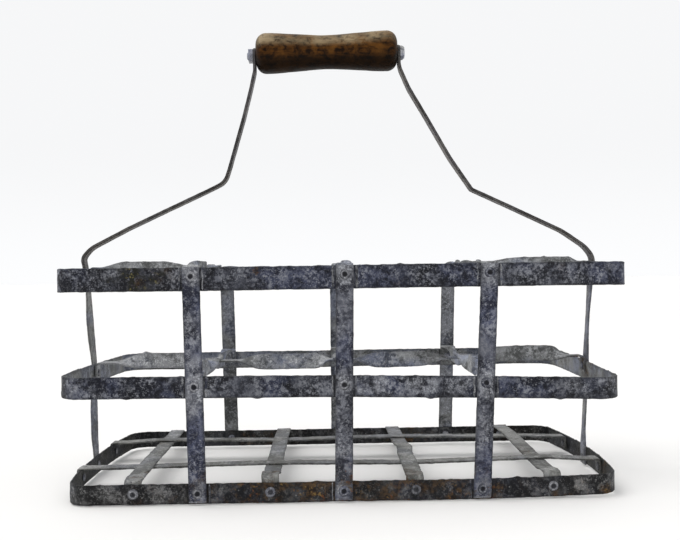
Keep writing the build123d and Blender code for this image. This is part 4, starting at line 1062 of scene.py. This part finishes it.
rows = [(-s, r_, c) for s, r_, c in reversed(cap)] + rows + cap
seg = 96
ax = np.array([CA, 0, SA])
upv = np.array([-SA, 0, CA])
yv = np.array([0, 1.0, 0])
mid3 = np.array([GRIP_MID[0], 0, GRIP_MID[1]])
V, A = [], {"zinc": [], "dark": [], "edge": [], "side": []}
for s, r_, c in rows:
    for i in range(seg):
        a = 2 * math.pi * i / seg
        V.append(mid3 + ax * s + upv * (c + r_ * math.cos(a)) + yv * (-r_ * math.sin(a)))
        top = math.cos(a)
        # zinc: lighter upper side, partly wear and partly painted highlight; dark: painted shade on the underside
        A["zinc"].append(float(smooth(-0.05, 0.60, top)) if r_ > 9 else 0.0)
        A["dark"].append(float(smooth(-0.12, -0.62, top)))
        A["edge"].append(max(0.0, min(1.0, (abs(s) - hl + 4.0) / 3.0)) * 0.85)
        A["side"].append(1.0)
V = np.array(V)
A = {kk: np.array(v) for kk, v in A.items()}
rad = V - mid3
rad = rad - np.outer(rad @ ax, ax)
ln = np.linalg.norm(rad, axis=1)
amount = (0.16 * fbm(V, 14.0, 700, 3) + 0.09 * fbm(V * np.array([0.25, 1, 1]), 2.4, 701, 2) - 0.35 * np.clip(vnoise(V, 5.5, 702) - 0.62, 0, 1)) * smooth(8.0, 11.0, ln)
V = V + rad / np.maximum(ln, 1e-6)[:, None] * amount[:, None]
A["zinc"] = A["zinc"] * (0.7 + 0.6 * vnoise(V, 11.0, 703)).clip(0, 1.3)
F = []
n = len(rows)
for i in range(n - 1):
    for j in range(seg):
        j2 = (j + 1) % seg
        F.append((i * seg + j, (i + 1) * seg + j, (i + 1) * seg + j2, i * seg + j2))
F.append(tuple(range(seg)))
F.append(tuple(reversed(range((n - 1) * seg, n * seg))))
build("turned_grip", [(V, F, A)], grip_wood, "grip", ["grip"], marks=False)

# ------------------------------------------------------------------ CAD nodes that stay
for nm, mat in (("handle_bolt", nut_zinc), ("handle_nut", nut_zinc)):
    o = frame["nodes"][nm]
    o.data.materials.clear()
    o.data.materials.append(mat)

# outward faces everywhere
import bmesh
for o in bpy.data.objects:
    if o.type == "MESH" and o.name not in frame["nodes"]:
        bm = bmesh.new()
        bm.from_mesh(o.data)
        bmesh.ops.recalc_face_normals(bm, faces=bm.faces)
        bm.to_mesh(o.data)
        bm.free()

# ------------------------------------------------------------------ floor, light, camera
me = bpy.data.meshes.new("floor")
R = 60.0
ring = [(R * math.cos(2 * math.pi * i / 96), R * math.sin(2 * math.pi * i / 96), -0.0004) for i in range(96)]
me.from_pydata(ring, [], [tuple(range(96))])
floor = bpy.data.objects.new("floor", me)
bpy.context.scene.collection.objects.link(floor)
fm = bpy.data.materials.new("floor_pale")
fm.use_nodes = True
b = fm.node_tree.nodes["Principled BSDF"]
b.inputs["Base Color"].default_value = (0.86, 0.855, 0.845, 1)
b.inputs["Roughness"].default_value = 0.9
b.inputs["Specular IOR Level"].default_value = 0.1
me.materials.append(fm)

w = bpy.data.worlds.new("studio")
bpy.context.scene.world = w
w.use_nodes = True
nt = w.node_tree
nt.nodes.clear()
wo = nt.nodes.new("ShaderNodeOutputWorld")
bg = nt.nodes.new("ShaderNodeBackground")
tc = nt.nodes.new("ShaderNodeTexCoord")
sep = nt.nodes.new("ShaderNodeSeparateXYZ")
nt.links.new(tc.outputs["Generated"], sep.inputs[0])
mr = nt.nodes.new("ShaderNodeMapRange")
mr.interpolation_type = "SMOOTHSTEP"
nt.links.new(sep.outputs["Y"], mr.inputs[0])
for i, v in enumerate((-0.7, 0.5, 0.46, 0.94)):
    mr.inputs[i + 1].default_value = v
low = nt.nodes.new("ShaderNodeMapRange")
low.interpolation_type = "SMOOTHSTEP"
nt.links.new(sep.outputs["Z"], low.inputs[0])
for i, v in enumerate((0.16, -0.01, 0.0, 0.06)):
    low.inputs[i + 1].default_value = v
both = nt.nodes.new("ShaderNodeMath")
both.operation = "ADD"
nt.links.new(mr.outputs[0], both.inputs[0])
nt.links.new(low.outputs[0], both.inputs[1])
nt.links.new(both.outputs[0], bg.inputs["Strength"])
bg.inputs["Color"].default_value = (0.985, 0.99, 1.0, 1)
nt.links.new(bg.outputs[0], wo.inputs[0])


def area(name, loc, target, size, power, color=(1, 1, 1)):
    d = bpy.data.lights.new(name, "AREA")
    d.shape = "DISK"
    d.size = size
    d.energy = power
    d.color = color
    o = bpy.data.objects.new(name, d)
    bpy.context.scene.collection.objects.link(o)
    o.location = loc
    o.rotation_euler = (Vector(target) - Vector(loc)).to_track_quat("-Z", "Y").to_euler()
    return o


sun_d = bpy.data.lights.new("soft_sun", "SUN")
sun_d.angle = math.radians(55)
sun_d.energy = 1.75
sun_d.color = (1.0, 0.985, 0.965)
sun = bpy.data.objects.new("soft_sun", sun_d)
bpy.context.scene.collection.objects.link(sun)
sun.rotation_euler = (Vector((0, 0, 0)) - Vector((-0.55, -0.10, 1.0))).to_track_quat("-Z", "Y").to_euler()
area("fill", (0.9, -1.5, 0.9), (0, 0, 0.12), 1.2, 5.0)

cam_d = bpy.data.cameras.new("camera")
cam_d.sensor_width = 36.0
cam_d.lens = 36.0 * 826.785 / 680.0
cam_d.clip_start = 0.01
cam = bpy.data.objects.new("camera", cam_d)
bpy.context.scene.collection.objects.link(cam)
yw, pt, rl = (math.radians(v) for v in (0.962, 0.575, -0.815))
fwd = Vector((math.sin(yw) * math.cos(pt), math.cos(yw) * math.cos(pt), math.sin(pt)))
rt = Vector((math.cos(yw), -math.sin(yw), 0.0))
up = rt.cross(fwd)
Rv = rt * math.cos(rl) + up * math.sin(rl)
Uv = up * math.cos(rl) - rt * math.sin(rl)
m = Matrix((Rv, Uv, -fwd)).transposed().to_4x4()
m.translation = Vector((-0.011287, -0.671027, 0.154709))
cam.matrix_world = m
bpy.context.scene.camera = cam
bpy.context.scene.view_settings.view_transform = "Standard"
bpy.context.scene.view_settings.look = "None"

bpy.context.view_layer.update()
